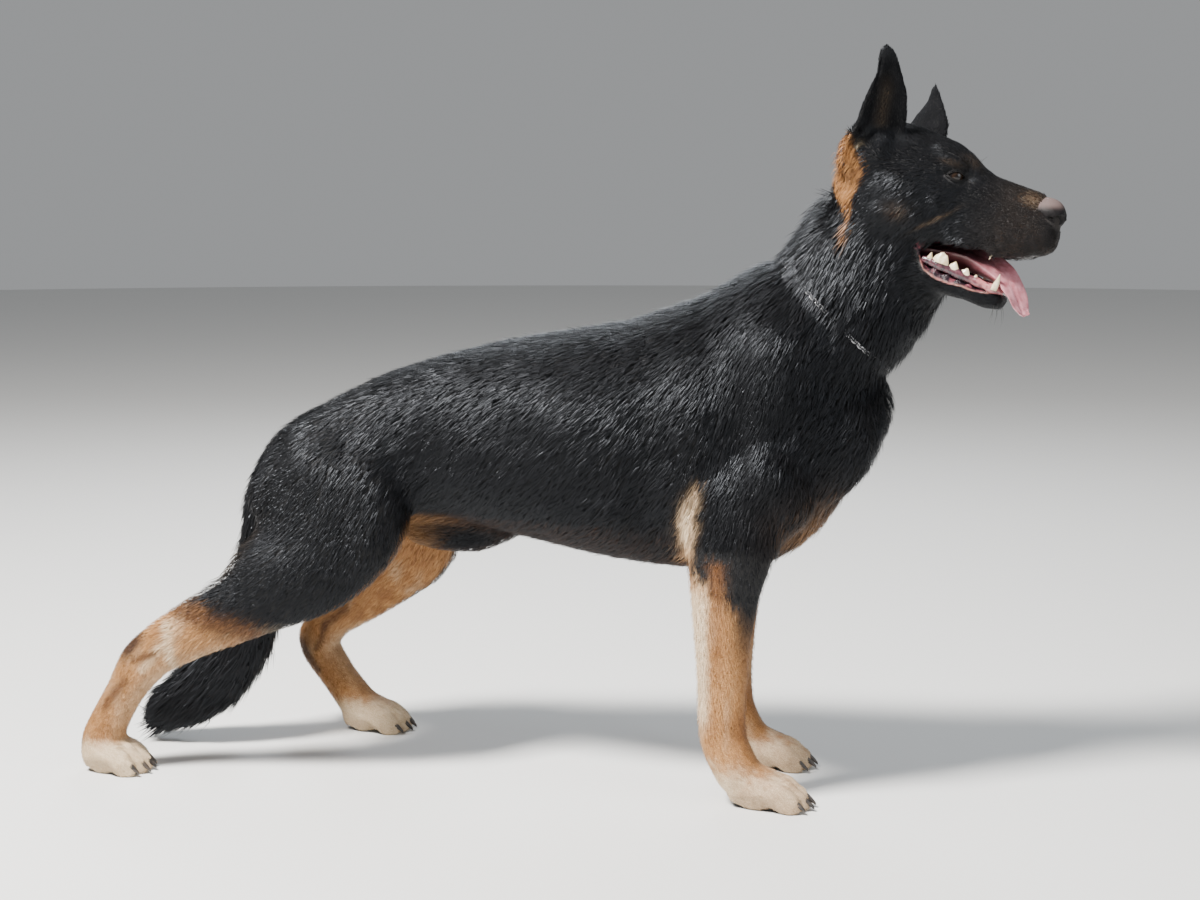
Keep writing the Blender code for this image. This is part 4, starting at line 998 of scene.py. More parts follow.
def nose_points(rings=80, around=144):
    """A dome over x: width and height grow as a sine of the way back, the corners squared by a
    power, the top drawn narrow and the lower edge set forward; the nostrils, the slits behind
    them and the middle groove are bells of depth pressed into it, and the wings bells that rise."""
    back = np.linspace(0, 1, rings)[1:, None]
    turn = full_turn(around)[None, :]
    swell = np.sin(back * np.pi / 2) ** 0.8 * (1 - 0.14 * back ** 8)
    ahead = np.cos(back * np.pi / 2) ** 0.66
    square = lambda wave: np.sign(wave) * np.abs(wave) ** 0.84
    high = square(np.sin(turn))
    top, low = np.clip(high, 0, 1), np.clip(-high, 0, 1)
    y = NOSE_HALF * swell * square(np.cos(turn)) * (1 - 0.3 * top ** 1.5) * (1 - 0.22 * low ** 2)
    z = np.where(high > 0, NOSE_OVER, NOSE_UNDER) * swell * high + NOSE_MIDDLE
    start = NOSE_BACK + 0.01 * low * back
    x = start + (NOSE_FRONT - start) * ahead - 0.0016 * low ** 2 - 0.0028 * top ** 2
    sided = np.abs(y)
    pit = np.exp(-(((sided - 0.01) / 0.0052) ** 2 + ((z + 0.0172) / 0.0044) ** 2) ** 1.5) * ahead ** 0.3
    slit = bell(z + 0.0195 - 0.1 * (sided - 0.01), 0.0015) * eased(sided, 0.011, 0.014)
    slit = slit * eased(x, 0.24, 0.2455)
    groove = bell(y, 0.0009) * (1 - eased(z, -0.013, -0.006)) * ahead ** 0.3
    wing = np.exp(-(((sided - 0.013) / 0.005) ** 2 + ((z + 0.0125) / 0.005) ** 2)) * 0.0015
    bridge = np.exp(-((sided / 0.005) ** 2 + ((z + 0.018) / 0.008) ** 2)) * 0.001
    x = x - 0.01 * pit - 0.0016 * groove - 0.001 * slit + 0.4 * wing + bridge
    y = y + np.sign(y) * (wing - 0.0026 * slit + 0.0018 * pit)
    points = np.stack([x, y, z], -1)
    # the leather's top paler: partly its own pale tone, partly a painted highlight where light from
    # above falls
    pale_and_highlight = eased(z - 0.3 * (x - 0.24), -0.012, -0.003) * (1 - eased(x, 0.25, 0.256))
    # the nostrils and the slits behind them get a share that paints them near black: painted shade in
    # the holes
    return points, np.clip(pit * 2.2 + slit * 0.9, 0, 1), pale_and_highlight


nose_rows, nostril_shade, nose_pale_and_highlight = nose_points()
leather = ringed_mesh("nose_leather", on_head(nose_rows), on_head((NOSE_FRONT, 0, NOSE_MIDDLE)),
                      on_head((NOSE_BACK, 0, NOSE_MIDDLE)))
with_values(leather, **{name: np.concatenate([[0], values.ravel(), [0]])
                        for name, values in (("pit", nostril_shade), ("pale_and_highlight", nose_pale_and_highlight))})
nose_look = plain_material("nose leather", (0.02, 0.017, 0.018), 0.5, Specular_IOR_Level=0.14)
skin_tone = clouded(nose_look, (260, 3, 0.35, 0.65), (0.003, 0.0027, 0.003), (0.009, 0.0075, 0.008))
# mix in the paler top: partly the leather's own tone, partly painted highlight
skin_tone = mixed_colour(nose_look, own_value(nose_look, "pale_and_highlight"), skin_tone, (0.105, 0.076, 0.072))
# nostrils and slits near black: painted shade
feed(nose_look, "Base Color",
     mixed_colour(nose_look, own_value(nose_look, "pit"), skin_tone, (0.002, 0.0015, 0.0015)))
place = node(nose_look, "ShaderNodeTexCoord").outputs["Object"]
pebbles = node(nose_look, "ShaderNodeTexVoronoi", {"Vector": place, "Scale": 900},
               feature="DISTANCE_TO_EDGE")
bumped(nose_look, pebbles.outputs["Distance"], 0.5, 0.0006)
nose = shown("nose_leather", leather, nose_look)
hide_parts("nose")

# ---------------------------------------------------------------- mouth
# The tongue lies along the floor of the mouth, tips over to the right and hangs over the chin. A
# ridge of mottled gum runs round the lower jaw and carries the teeth: canines and cheek teeth.

# the tongue's right edge, its left edge and its thickness in millimetres, from throat to tip
TONGUE = np.array([
    (112, -15, -101, 112, 15, -100, 12), (135, -19, -96, 135, 19, -87, 18),
    (156, -19.5, -92, 155, 19.5, -78.5, 23), (178, -18, -93, 177, 19, -76.5, 23),
    (199, -16.5, -99, 199, 17.5, -79, 19), (214, -16.5, -106, 219, 15.5, -88, 12),
    (223.5, -20.5, -113, 234, 12.5, -99, 7), (231, -22.5, -119, 243.5, 10.5, -112.5, 5),
    (239.5, -21.5, -126.5, 251.5, 7, -124.5, 4), (247, -16.5, -132, 255.5, 0.5, -130.5, 3.2)]) / 1000


def between_rows(at, run, rows):
    """Rows at the places at, where the given rows lie at the places run: each value mixed in line."""
    return np.stack([np.interp(at, run, column) for column in rows.T], 1)


def softened(rows, passes):
    """Each row but the two at the ends becomes half itself and a quarter of each neighbour, again and
    again."""
    for _ in range(passes):
        rows = np.concatenate([rows[:1], 0.25 * rows[:-2] + 0.5 * rows[1:-1] + 0.25 * rows[2:],
                               rows[-1:]])
    return rows


def tongue_rings(rows=84, around=44):
    """Cross-sections along the rows: flat above from edge to edge, hollowed along the middle by a
    bell and curled up by the square of the way across; below, a half oval of the rest of its
    thickness."""
    along = np.linspace(0, len(TONGUE) - 1, rows)
    smooth = between_rows(along, np.arange(len(TONGUE)), TONGUE)
    smooth = softened(np.concatenate([smooth[:1], smooth, smooth[-1:]]), 14)[1:-1]
    path, side = (smooth[:, 3:6] + smooth[:, :3]) / 2, (smooth[:, 3:6] - smooth[:, :3]) / 2
    up = unit(np.cross(np.gradient(path, axis=0), side))
    turn = full_turn(around)[None, :, None]
    across = np.sign(np.cos(turn)) * np.abs(np.cos(turn)) ** 0.85
    under = np.sin(turn) < 0
    lift = np.where(under, smooth[:, None, 6:7] - 0.0018, 0.0018) * np.sin(turn) + 0.0026 * across ** 2
    lift = lift - 0.0016 * bell(across, 0.1) * (np.sin(turn) > 0)
    wave = 0.0007 * np.sin(along * 2.9)[:, None, None] * across ** 2
    across = across * np.where(under, 1 + 0.1 * np.sin(turn), 1)
    return path[:, None] + side[:, None] * across + up[:, None] * (lift + wave)


def towards_nose(mesh, start, length):
    """For each point 0 behind a place along the head, and 1 that length further to the nose."""
    return np.clip((in_head(read_mesh(mesh)[0])[:, 0] - start) / length, 0, 1)


rings = tongue_rings()
tip = rings[-1].mean(0) + (0.0012, 0.0005, -0.003)
tongue_mesh = ringed_mesh("tongue_flesh", on_head(rings), on_head(rings[0].mean(0) + (-0.003, 0, 0)),
                          on_head(tip))
with_values(tongue_mesh, fore=towards_nose(tongue_mesh, 0.172, 0.044))
tongue_look = plain_material("tongue flesh", (0.42, 0.15, 0.17), 0.3, Coat_Weight=0.35,
                             Coat_Roughness=0.15, Subsurface_Weight=0.08,
                             Subsurface_Radius=(0.004, 0.0015, 0.001))
flesh = clouded(tongue_look, (130, 4, 0.35, 0.65), (0.4, 0.125, 0.15), (0.62, 0.27, 0.31))
# the tongue darker towards the throat by its fore value: painted shade inside the mouth
feed(tongue_look, "Base Color",
     mixed_colour(tongue_look, own_value(tongue_look, "fore"), (0.07, 0.018, 0.022), flesh))
bumped(tongue_look, noise_share(tongue_look, 1500, 2, 0.35, 0.65), 0.35, 0.0005)
tongue = shown("tongue_flesh", tongue_mesh, tongue_look)
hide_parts("tongue")


def heights_and_turns(rings, around):
    """Heights from 0 to just under 1, one to a row, and the angles round each ring."""
    return np.linspace(0, 1, rings + 1)[:-1, None], full_turn(around)[None, :]


def tooth_mesh(base, tip, long, thick, bend=0.0, sharp=1.35, rings=10, around=14):
    """A tooth from base to tip: an oval that narrows by a power of the height and leans along its
    own curve, which bends back by the square of the height."""
    high, turn = heights_and_turns(rings, around)
    size = (1 - high ** sharp) * (1 - 0.12 * (1 - high) ** 2)
    centre = base + high * (tip - base) + bend * high * (1 - high) * np.array((1.0, 0, 0))
    rings_made = centre[:, None] + np.stack([long * size * np.cos(turn), thick * size * np.sin(turn),
                                             0 * size * turn], -1)
    return ringed_mesh("tooth", on_head(rings_made), on_head(base), on_head(tip))


CANINES = [((0.212, 0.0195, -0.115), (0.214, 0.0208, -0.095), 0.005, 0.0042, 0.004),
           ((0.204, 0.0205, -0.064), (0.1965, 0.0215, -0.0845), 0.0048, 0.0036, -0.004)]
# cheek teeth of the lower jaw: middle, half length, half thickness, height, and for each cusp its
# place along the tooth, its width and its share of the height
MOLARS = [((0.1455, 0.0262, -0.106), 0.01, 0.0044, 0.0135,
           ((-0.1, 0.56, 1.0), (0.55, 0.42, 0.88), (-0.62, 0.42, 0.62))),
          ((0.1622, 0.0243, -0.108), 0.0066, 0.0036, 0.01, ((0.0, 0.6, 1.0), (-0.6, 0.42, 0.6))),
          ((0.176, 0.0226, -0.109), 0.0062, 0.0032, 0.0082, ((0.2, 0.6, 1.0), (-0.6, 0.42, 0.5))),
          ((0.1885, 0.0208, -0.11), 0.004, 0.0024, 0.0056, ((0.15, 0.5, 1.0),)),
          ((0.1325, 0.027, -0.105), 0.0034, 0.0034, 0.008, ((0.0, 0.6, 1.0),))]


def cheek_tooth(middle, long, thick, tall, cusps, rings=16, around=28):
    """A tooth with cusps: an oval that closes by the root of one less a power of the height, its
    crown's height at each place along it the highest of its cusps' bells, over a low ridge."""
    def crown(along):
        """The crown's height at each place along the tooth, as a share."""
        bells = [share * bell(along - place, width) for place, width, share in cusps]
        return 0.44 + 0.56 * np.max(bells, 0)

    high, turn = heights_and_turns(rings, around)
    size = np.sqrt(1 - high ** 2.6)
    along = size * np.cos(turn)
    points = np.stack([long * along, thick * size * np.sin(turn) * (1 - 0.35 * high),
                       tall * high * crown(along)], -1)
    top = middle + (0, 0, tall * crown(0.0))
    return ringed_mesh("tooth", on_head(points + middle), on_head(middle), on_head(top))


# the middle of the gum, from the throat to the chin, and its size
GUM = np.array([
    (0.124, 0.0262, -0.1075, 0.6), (0.135, 0.0268, -0.108, 1.0), (0.15, 0.0258, -0.109, 1.0),
    (0.168, 0.0235, -0.1105, 1.0), (0.186, 0.021, -0.112, 0.95), (0.2, 0.0196, -0.113, 0.95),
    (0.212, 0.0182, -0.114, 1.0), (0.2185, 0.012, -0.114, 0.9), (0.2205, 0.0, -0.114, 0.9)])


def gum_mesh(around=16):
    """A ridge of gum round the lower jaw: an oval cord along the rows and back on the other side, its
    size swelling and sinking with a sine between the teeth."""
    path = np.concatenate([GUM * (1, -1, 1, 1), GUM[-2::-1]])
    along = np.linspace(0, len(path) - 1, 190)
    smooth = softened(between_rows(along, np.arange(len(path)), path), 10)
    middle, size = smooth[:, :3], smooth[:, 3:4] * (1 + 0.1 * np.sin(along * 4.6))[:, None]
    way = unit(np.gradient(middle, axis=0))
    out = unit(np.cross(way, (0, 0, 1.0)))
    turn = full_turn(around)[None, :, None]
    rings = middle[:, None] + (0.004 * size[:, None] * np.cos(turn) * out[:, None]
                               + 0.0052 * size[:, None] * np.sin(turn) * np.array((0, 0, 1.0)))
    return ringed_mesh("gums", on_head(rings), on_head(middle[0]), on_head(middle[-1]))


gum_look = plain_material("gum", (0.3, 0.09, 0.1), 0.25, Coat_Weight=0.5, Coat_Roughness=0.12)
mottled = clouded(gum_look, (170, 3, 0.4, 0.62), (0.42, 0.15, 0.15), (0.12, 0.03, 0.042))
# the gum darker towards the throat: its own dark mottle deepened as painted shade inside the mouth
shaded_gum = clouded(gum_look, (190, 3, 0.44, 0.66), (0.024, 0.012, 0.018), (0.105, 0.034, 0.044))
feed(gum_look, "Base Color", mixed_colour(gum_look, own_value(gum_look, "fore"), shaded_gum, mottled))
bumped(gum_look, noise_share(gum_look, 380, 3, 0.3, 0.7), 0.35, 0.0008)
gum_ridge = gum_mesh()
with_values(gum_ridge, fore=towards_nose(gum_ridge, 0.176, 0.022))
gums_piece = shown("gums", gum_ridge, gum_look)

teeth_made = [tooth_mesh(flipped(base, side), flipped(tip, side), *sizes)
              for base, tip, *sizes in CANINES for side in (RIGHT, LEFT)]
teeth_made += [cheek_tooth(flipped(middle, side), *sizes) for middle, *sizes in MOLARS
               for side in (RIGHT, LEFT)]
tooth_look = plain_material("tooth", (0.75, 0.66, 0.48), 0.22, Coat_Weight=0.3)
feed(tooth_look, "Base Color",
     clouded(tooth_look, (220, 3, 0.35, 0.7), (0.52, 0.41, 0.24), (0.78, 0.7, 0.52)))
teeth = shown("teeth", joined("teeth", teeth_made), tooth_look)

# ---------------------------------------------------------------- claws
# A dark, blunt, curved claw at the end of each of the sixteen toes, and a dewclaw inside each wrist.


def claw_mesh(root, forward, down, radius, rings=12, around=12):
    """A claw along a parabola from its root: round, taller than wide, narrowing to a blunt end."""
    high, turn = np.linspace(0, 1, rings)[:, None], full_turn(around)[None, :]
    centre = root + high * np.array(forward) + high ** 2 * np.array(down)
    size = radius * (1 - 0.62 * high ** 1.6)
    rings_made = centre[:, None] + np.stack([0 * size * turn, 0.78 * size * np.cos(turn),
                                             1.12 * size * np.sin(turn)], -1)
    return ringed_mesh("claw", rings_made, centre[0], centre[-1] + (0.0006, 0, -0.0003))


claws_made = []
for heel, length, across in PAWS:
    for row, reach in TOES:
        root = (heel + length * reach - 0.002, across + row * TOE_SPACING, 0.015)
        claws_made.append(claw_mesh(root, (0.0178, 0, -0.001), (0.0, 0, -0.0092), 0.0047))
for (heel, _, _), side in zip(PAWS, (RIGHT, LEFT)):
    root = (heel + 0.006, 0.085 * side + MID - 0.025 * side, 0.082)
    claws_made.append(claw_mesh(root, (0.011, 0, -0.008), (0.0, 0, -0.006), 0.0036))
claw_look = plain_material("claw", (0.02, 0.016, 0.013), 0.35, Coat_Weight=0.2)
feed(claw_look, "Base Color",
     clouded(claw_look, (300, 2, 0.35, 0.65, (0.2, 1, 1)), (0.012, 0.01, 0.009), (0.06, 0.046, 0.036)))
claws = shown("claws", joined("claws", claws_made), claw_look)

# ---------------------------------------------------------------- collar
# A fine steel chain round the lower neck, half sunk in the hair: small twisted oval links, each
# through the next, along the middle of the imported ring.

COLLAR_AT, COLLAR_AXIS = np.array((0.3356, MID, 0.5865)), unit(np.array((0.715, 0, 0.7)))
LINK_PITCH, LINK_HALF, WIRE = 0.0052, (0.0041, 0.0026), 0.0008
LINK_SIDES, WIRE_SIDES = 14, 6
RING_CORNERS = 22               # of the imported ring
SUNK, SWAY = 0.0083, 0.0034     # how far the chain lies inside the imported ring's middle line
DIPS = 7                        # how often it sinks into the hair on the way round


def collar_path():
    """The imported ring's middle line, evened: its points sorted by angle round the neck, averaged in
    equal slices, rounded by cutting corners, and spaced by equal length; it sinks into the hair and
    comes up again with a cosine of the angle, and lies deepest at the nape."""
    points = read_mesh(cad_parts["collar"].data)[0]
    side = np.array((0, 1.0, 0))
    up = np.cross(COLLAR_AXIS, side)
    away = points - COLLAR_AT
    angle = np.arctan2(away @ up, away @ side)
    slices = np.round(angle / (2 * np.pi) * RING_CORNERS).astype(int) % RING_CORNERS
    middle = np.stack([np.bincount(slices, points[:, k], RING_CORNERS) for k in range(3)], 1)
    middle /= np.bincount(slices, minlength=RING_CORNERS)[:, None]
    closed = np.concatenate([middle, middle[:1]])
    for _ in range(2):
        near, far = closed[:-1] * 0.75 + closed[1:] * 0.25, closed[:-1] * 0.25 + closed[1:] * 0.75
        closed = np.stack([near, far], 1).reshape(-1, 3)
        closed = np.concatenate([closed, closed[:1]])
    run = np.concatenate([[0], np.cumsum(np.linalg.norm(np.diff(closed, axis=0), axis=1))])
    count = int(run[-1] / LINK_PITCH / 2) * 2
    path = between_rows(np.linspace(0, run[-1], count, endpoint=False), run, closed)
    inward = COLLAR_AT - path
    angle = np.arctan2(-inward @ up, -inward @ side)
    sunk = SUNK - SWAY * np.cos(DIPS * (angle - 2.83)) + 0.004 * bell(angle - np.pi / 2, 0.7)
    return path + unit(inward - COLLAR_AXIS * (inward @ COLLAR_AXIS)[:, None]) * sunk[:, None]


def chain_mesh(path):
    """Oval rings of wire along the path, every other one turned a quarter about the path."""
    along = unit(np.roll(path, -1, 0) - np.roll(path, 1, 0))
    out = unit(laid_flat(path - COLLAR_AT, along))
    cross = np.cross(along, out)
    tilt = np.where(np.arange(len(path)) % 2 == 0, 0.85, -0.72)[:, None]
    wide = cross * np.cos(tilt) + out * np.sin(tilt)
    face = np.cross(along, wide)
    turn, wire = full_turn(LINK_SIDES)[:, None], full_turn(WIRE_SIDES)[None, :]
    ring = np.stack([LINK_HALF[0] * np.cos(turn) + WIRE * np.cos(wire) * np.cos(turn),
                     LINK_HALF[1] * np.sin(turn) + WIRE * np.cos(wire) * np.sin(turn),
                     WIRE * np.sin(wire) + 0 * turn], -1).reshape(-1, 3)
    points = (path[:, None] + ring[None, :, :1] * along[:, None] + ring[None, :, 1:2] * wide[:, None]
              + ring[None, :, 2:] * face[:, None])
    faces = tube_faces(LINK_SIDES, WIRE_SIDES, True)
    triangles = faces[None] + (np.arange(len(path)) * len(ring))[:, None, None]
    return closed_mesh("chain_collar", points.reshape(-1, 3), triangles.reshape(-1, 3))


steel_look = plain_material("chain steel", (0.6, 0.6, 0.62), 0.38, Metallic=1.0)
feed(steel_look, "Base Color",
     clouded(steel_look, (500, 2, 0.3, 0.7), (0.3, 0.3, 0.31), (0.56, 0.56, 0.58)))
chain = shown("chain_collar", chain_mesh(collar_path()), steel_look)
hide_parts("collar")

# ---------------------------------------------------------------- whiskers
# Stiff black whiskers on the lips, the brows, the cheeks and under the chin, each a long thin cone
# that bends back under its own weight.

# where, which way, how many on each side and how long
WHISKERS = [((0.215, 0.024, -0.045), (0.3, 0.9, -0.1), 5, 0.04),
            ((0.2, 0.027, -0.054), (0.15, 0.95, -0.2), 5, 0.045),
            ((0.19, 0.029, -0.064), (0.0, 0.9, -0.35), 4, 0.04),
            ((0.128, 0.026, 0.01), (0.3, 0.45, 0.8), 3, 0.03),
            ((0.105, 0.048, -0.062), (-0.1, 0.95, -0.25), 2, 0.035),
            ((0.215, 0.014, -0.132), (0.35, 0.45, -0.75), 3, 0.022)]
WHISKER_RADIUS = 0.00028


def hair_cone(root, way, long, radius, rings=6, around=4):
    """A thin cone from its root: the way straight on, less a drop by the square of the length."""
    high, turn = (values[..., None] for values in heights_and_turns(rings, around))
    side = unit(np.cross(way, (0, 0, 1)))
    up = np.cross(side, way)
    bend = np.array((-0.25, 0, -0.3)) * long
    centre = root + high * long * way + high ** 2 * bend
    rings_made = centre + radius * (1 - high) * (np.cos(turn) * side + np.sin(turn) * up)
    return ringed_mesh("whisker", rings_made, centre[0, 0], root + long * way + bend)


chance = np.random.default_rng(11)
whiskers_made = []
for start, way, count, long in WHISKERS:
    for side in (RIGHT, LEFT):
        for _ in range(count):
            spread = chance.normal(0, 1, 3)
            root = on_head(flipped(start, side) + spread * (0.006, 0.0008, 0.003))
            lean = head_way(unit(flipped(way, side) + spread[::-1] * 0.1))
            whiskers_made.append(hair_cone(root, lean, long * chance.uniform(0.7, 1.1), WHISKER_RADIUS))
whisker_look = plain_material("whisker", (0.008, 0.007, 0.007), 0.4)
whiskers = shown("whiskers", joined("whiskers", whiskers_made), whisker_look)

# ---------------------------------------------------------------- coat
# Tufts of hair over the whole hide, lying back from the nose to the tail and down the legs: short
# and fine on the face and feet, longer on the neck, the breeches and the tail. Each tuft is a thin
# closed blade that rises from its root and lies down again, and neighbours lean into locks.

TUFTS = {"foreleg": 18000, "tail": 13200}       # of six triangles each
TUFTS_ELSE = 31200      # in each of the other pieces
TUFT_POINTS = 5         # a root, three corners on the way and a tip
PATCH = 0.003           # width of a tuft's patch on its map
MARGIN = 0.0003         # how far the tips stay inside the solids' box
ROOT_DEPTH = 0.0008     # how far the roots lie under the skin
CREST = 0.13            # height of a tuft's ridge over its edges, of its width
FAR_OFF = 9.0           # more than any angle from the lids
LOCK = 0.13             # how far the tips drift into locks, of the locks' size


def tuft_width(hair):
    """How wide a tuft of that length is."""
    return 0.0004 + 0.044 * hair


def bend_of(points, normals, edges, way):
    """How fast the skin turns away under the hair, as one over a radius: the change of the normal
    along the lie for each step along it, over all of a point's edges."""
    total, weight = np.zeros(len(points)), np.zeros(len(points))
    step = points[edges[:, 1]] - points[edges[:, 0]]
    change = normals[edges[:, 1]] - normals[edges[:, 0]]
    for end in (0, 1):
        along = (step * way[edges[:, end]]).sum(1)
        turned = (change * way[edges[:, end]]).sum(1)
        total += np.bincount(edges[:, end], along * turned, len(points))
        weight += np.bincount(edges[:, end], along ** 2, len(points))
    return relaxed((total / np.maximum(weight, 1e-12))[:, None], edges, 10)[:, 0]


def scattered(count, share, chance):
    """Triangles and places in them for that many roots: even steps through the running total of
    the triangles' shares, each with two random numbers folded into the triangle."""
    total = np.cumsum(share)
    steps = (np.arange(count) + chance.uniform(0, 1, count)) / count * total[-1]
    chosen = np.searchsorted(total, steps)
    chosen = np.minimum(chosen, len(share) - 1)
    u, v = chance.uniform(0, 1, (2, count))
    over = u + v > 1
    u, v = np.where(over, 1 - u, u), np.where(over, 1 - v, v)
    return chosen, np.stack([1 - u - v, u, v], 1)


def unwrapped(points, normals, line):
    """A flat map of the roots: each line's roots are split by the axis that their skin faces most,
    seen square to that axis, and the patches are stacked in rows that fill a square."""
    axis = np.abs(normals).argmax(1)
    facing = np.take_along_axis(normals, axis[:, None], 1)[:, 0] > 0
    _, key = np.unique(line * 6 + axis * 2 + facing, return_inverse=True)
    flat = np.where(axis[:, None] == 0, points[:, (1, 2)], points[:, (0, 2)])
    flat = np.where(axis[:, None] == 2, points[:, (0, 1)], flat)
    low = np.full((key.max() + 1, 2), np.inf)
    high = -low
    np.minimum.at(low, key, flat)
    np.maximum.at(high, key, flat)
    size = high - low + 0.004
    width = math.sqrt(size.prod(1).sum()) * 1.1
    corner, row, tall = np.zeros_like(size), np.zeros(2), 0.0
    for chart in np.argsort(-size[:, 1]):
        if row[0] + size[chart, 0] > width and row[0] > 0:
            row = np.array((0.0, row[1] + tall))
            tall = 0.0
        corner[chart] = row
        row = row + (size[chart, 0], 0)
        tall = max(tall, size[chart, 1])
    whole = max(width, row[1] + tall, (corner[:, 0] + size[:, 0]).max())
    return (flat - low[key] + corner[key] + 0.002) / whole * (1 - 2 * PATCH) + PATCH


def tuft_mesh(name, root, normal, way, hair, depth, bend, chance):
    """Closed spindles: a root under the skin, three corners on the way and a tip. At each step along
    the hair the middle is the root, plus the way by the length, plus the height, less the skin's own
    bend by half the square of the length; the tips drift up the slope of a smooth noise into locks."""
    count = len(root)
    rough = (mottle(root, 0.03, 21) * 0.16 + mottle(root, 0.009, 22) * 0.15
             + chance.normal(0, 0.08, count))
    side = np.cross(normal, way)
    way = unit(way * np.cos(rough)[:, None] + side * np.sin(rough)[:, None])
    roll = (0.36 * mottle(root, 0.0045, 24) + chance.normal(0, 0.11, count))[:, None]
    side = np.cross(normal, way) * np.cos(roll) + normal * np.sin(roll)
    crest = np.cross(way, side)
    long = hair * chance.uniform(0.7, 1.12, count)
    size = np.clip(hair * 0.42, 0.003, 0.011)[:, None]
    here = mottle(root / size, 1.0, 23)
    slope = np.stack([mottle((root + step * size * 0.1) / size, 1.0, 23) - here
                      for step in np.eye(3)], 1) / 0.1
    drift = laid_flat(slope, normal) * (size * LOCK)
    stray = 1 + 0.4 * (chance.uniform(0, 1, count) < 0.08)
    rise = depth * (0.8 + 0.13 * here + chance.normal(0, 0.1, count)) * stray + 0.0003
    wide = tuft_width(hair) * chance.uniform(0.7, 1.25, count)
    rows = []
    for step, full in ((0.0, 0.0), (0.42, 1.0), (1.0, 0.0)):
        high = (-ROOT_DEPTH + (rise + ROOT_DEPTH) * (1 - (1 - step) ** 2.1)
                - bend * (long * step) ** 2 / 2)
        middle = root + way * (long * step)[:, None] + drift * step ** 2 + normal * high[:, None]
        half = side * (wide * full / 2)[:, None]
        top = crest * (wide * full * CREST)[:, None]
        rows += [middle - half, middle + half, middle + top] if full else [middle]
    points = np.stack(rows, 1)
    spindle = np.array([(0, 2, 1), (0, 1, 3), (0, 3, 2), (4, 1, 2), (4, 3, 1), (4, 2, 3)])
    triangles = (spindle[None] + np.arange(count)[:, None, None] * TUFT_POINTS).reshape(-1, 3)
    points = np.clip(points.reshape(-1, 3), cad_low + MARGIN, cad_high - MARGIN)
    triangles = facing_out(points, triangles)
    return closed_mesh(name, points, triangles, smooth=False), triangles


skin_way, skin_hair, skin_depth, skin_line = coat_at(skin, skin_normals)
for side in (RIGHT, LEFT):      # round the eye the hair is short and combed away from the lids
    away = skin - eye_axes(side)[0]
    round_eye = 1 - eased(np.linalg.norm(away, axis=1), 0.013, 0.024)
    skin_way += unit(away) * (1.6 * round_eye)[:, None]
    skin_hair = skin_hair * (1 - 0.62 * round_eye)
skin_way = unit(laid_flat(relaxed(skin_way, skin_edges, 3), skin_normals))
skin_bend = bend_of(skin, skin_normals, skin_edges, skin_way)

own = in_head(skin)
eye_gap = np.minimum(*[np.where(lid_angles(skin, side)[0] < EYE_RADIUS + 0.012,
                                lid_angles(skin, side)[2], FAR_OFF) for side in (RIGHT, LEFT)])
covered_by = np.hypot(own[:, 1] / NOSE_HALF, (own[:, 2] - NOSE_MIDDLE)
                      / np.where(own[:, 2] > NOSE_MIDDLE, NOSE_OVER, NOSE_UNDER))
on_leather = (own[:, 0] > NOSE_BACK + 0.0015 + 0.012 * (own[:, 2] < NOSE_MIDDLE)) & (covered_by < 1.02)
bare = (skin_wet > 0.25) | (skin_sole > 0.3) | (eye_gap < math.radians(5)) | on_leather
collar_gap = np.abs((skin - COLLAR_AT) @ COLLAR_AXIS)
skin_depth = skin_depth * (0.62 + 0.38 * eased(collar_gap, 0.002, 0.02))
skin_depth = np.where(eye_gap < FAR_OFF, skin_depth * eased(eye_gap, 0.05, 0.7), skin_depth)

# behind the ears and on the nape it stands off in a soft ruff
mirrored = both_alike(own)
ruff = eased(-own[:, 0], -0.03, -0.01) * spot(mirrored, (0.006, 0.05, -0.016), (0.022, 0.03, 0.026))
skin_depth = skin_depth * (1 + 2.0 * ruff + 1.1 * spot(own, (-0.02, 0, -0.085), (0.035, 0.06, 0.045)))
nook = spot(mirrored, (-0.006, 0.05, 0.02), (0.022, 0.03, 0.02))
skin_depth, skin_hair = skin_depth * (1 - 0.6 * nook), skin_hair * (1 + 0.3 * ruff - 0.6 * nook)

labels = np.array([part for *_, part in LINES])[skin_line]
halved = np.isin(labels, ("trunk", "head", "hindleg"))
word = np.where(np.where(labels == "head", own[:, 1], skin[:, 1] - MID) < 0, "_right", "_left")
labels = np.where(halved, np.char.add(labels, word), labels)

HAIR_TIP, HAIR_ROOT = 0.41, 1.0        # roughness
hair_look = plain_material("hair", BLACK, 0.37, Sheen_Weight=0.02, Sheen_Roughness=0.3,
                           Specular_IOR_Level=0.2, Specular_Tint=(0.84, 0.9, 1.0, 1),
                           Sheen_Tint=(0.8, 0.86, 1.0, 1))
along = own_value(hair_look, "along")
# tips lighter by each tuft's tone: partly the hair's own tone, partly a painted sheen of its lock
tips = node(hair_look, "ShaderNodeMath", {0: along, 1: own_value(hair_look, "tone_and_sheen")},
            operation="MULTIPLY", use_clamp=True)
feed(hair_look, "Base Color", hair_colour(hair_look, tips.outputs[0]))
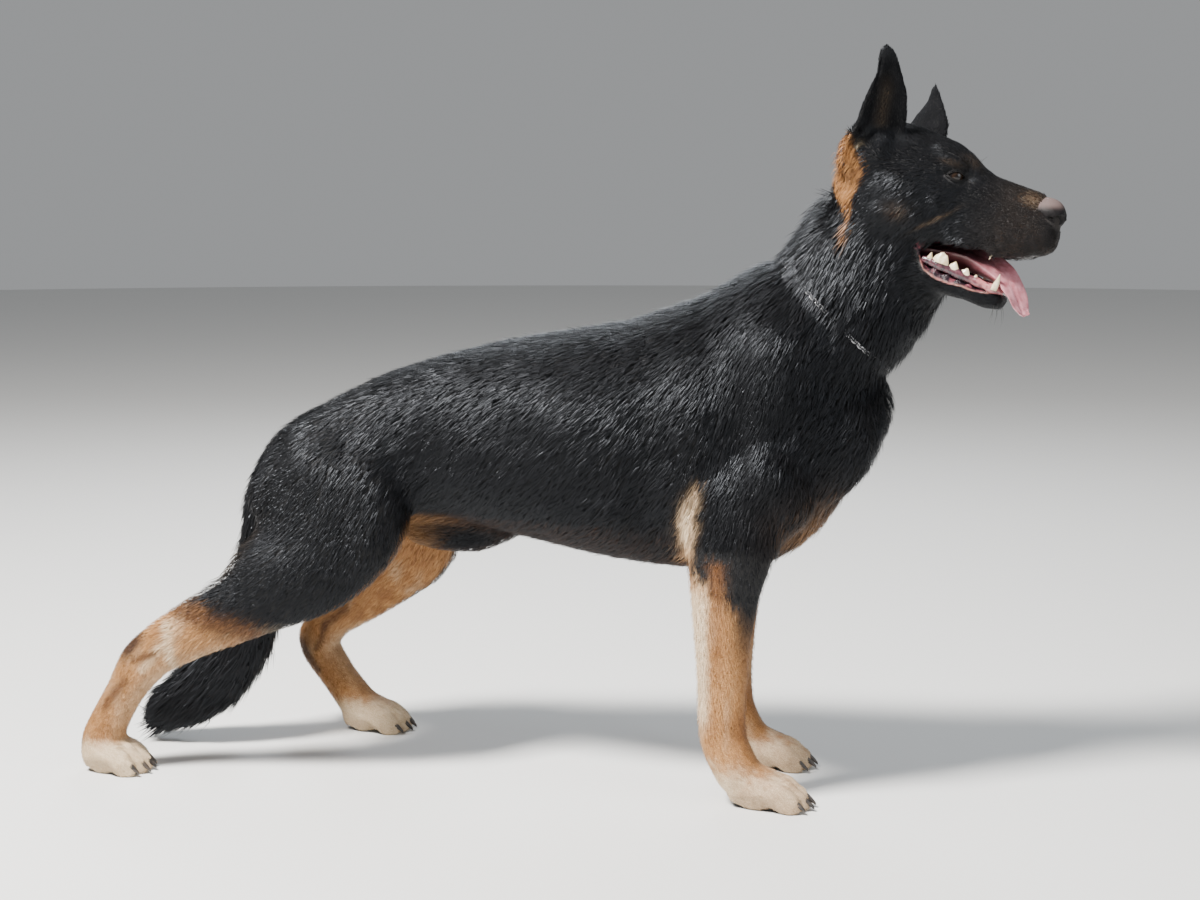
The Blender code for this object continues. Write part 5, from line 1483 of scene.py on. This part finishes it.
# the roots, up to half way along, and the velvet of the ears shine less
rooted = node(hair_look, "ShaderNodeMath", {0: along, 1: -2.0, 2: 1.0}, operation="MULTIPLY_ADD")
matter = node(hair_look, "ShaderNodeMath", {0: rooted.outputs[0], 1: own_value(hair_look, "velvet")},
              operation="MAXIMUM")
dulled = node(hair_look, "ShaderNodeMapRange",
              {"Value": matter.outputs[0], "To Min": HAIR_TIP, "To Max": HAIR_ROOT})
feed(hair_look, "Roughness", dulled.outputs[0])

corner_a, corner_b, corner_c = (skin[skin_triangles[:, k]] for k in range(3))
cell = np.linalg.norm(np.cross(corner_b - corner_a, corner_c - corner_a), axis=1)
mean_hair = skin_hair[skin_triangles].mean(1)
cell = cell / (mean_hair * tuft_width(mean_hair)) ** 0.85
cell = cell * (bare[skin_triangles].mean(1) < 0.4)
first_label = labels[skin_triangles[:, 0]]
chance = np.random.default_rng(7)
for part in sorted(set(labels)):
    count = TUFTS.get(part, TUFTS_ELSE)
    chosen, shares = scattered(count, cell * (first_label == part), chance)
    corners = skin_triangles[chosen]
    take = lambda rows: (rows[corners] * (shares if rows.ndim == 1 else shares[..., None])).sum(1)
    root, normal = take(skin), unit(take(skin_normals))
    way = unit(laid_flat(take(skin_way), normal))
    mesh, triangles = tuft_mesh(f"coat_{part}", root, normal, way, take(skin_hair), take(skin_depth),
                                np.clip(take(skin_bend), -12, 30), chance)
    tan, cream, brown = (np.clip(shade + chance.normal(0, 0.04, count) * (shade > 0.02), 0, 1)
                         for shade in markings(root, normal))
    # a tone for each tuft, by its lock and at random: partly the hair's own tone, partly a painted sheen
    # of the locks
    tone_and_sheen = np.clip(0.5 + 0.25 * mottle(root, 0.012, 31) + 0.4 * mottle(root, 0.0045, 24)
                   + chance.normal(0, 0.2, count), 0.02, 1.3)
    velvet = furrow_gap(in_head(root))[1]
    shades = {"velvet": velvet, "tan": tan, "cream": cream, "brown": brown, "tone_and_sheen": tone_and_sheen}
    with_values(mesh, **{name: np.repeat(value, TUFT_POINTS) for name, value in shades.items()},
                along=np.tile((0.0, 0.5, 0.5, 0.6, 1.0), count))
    flat = unwrapped(root, normal, take(skin_line.astype(float)).round().astype(int))
    patch = np.array([(0, -1), (-1, 0), (1, 0), (0, 0.2), (0, 1)]) * PATCH / 2
    spread = (flat[:, None] + patch[None]).reshape(-1, 2)[triangles.ravel()]
    layer = mesh.uv_layers.new(name="OFBake")
    layer.data.foreach_set("uv", np.ascontiguousarray(spread, np.float32).ravel())
    coat = shown(f"coat_{part}", mesh, hair_look)
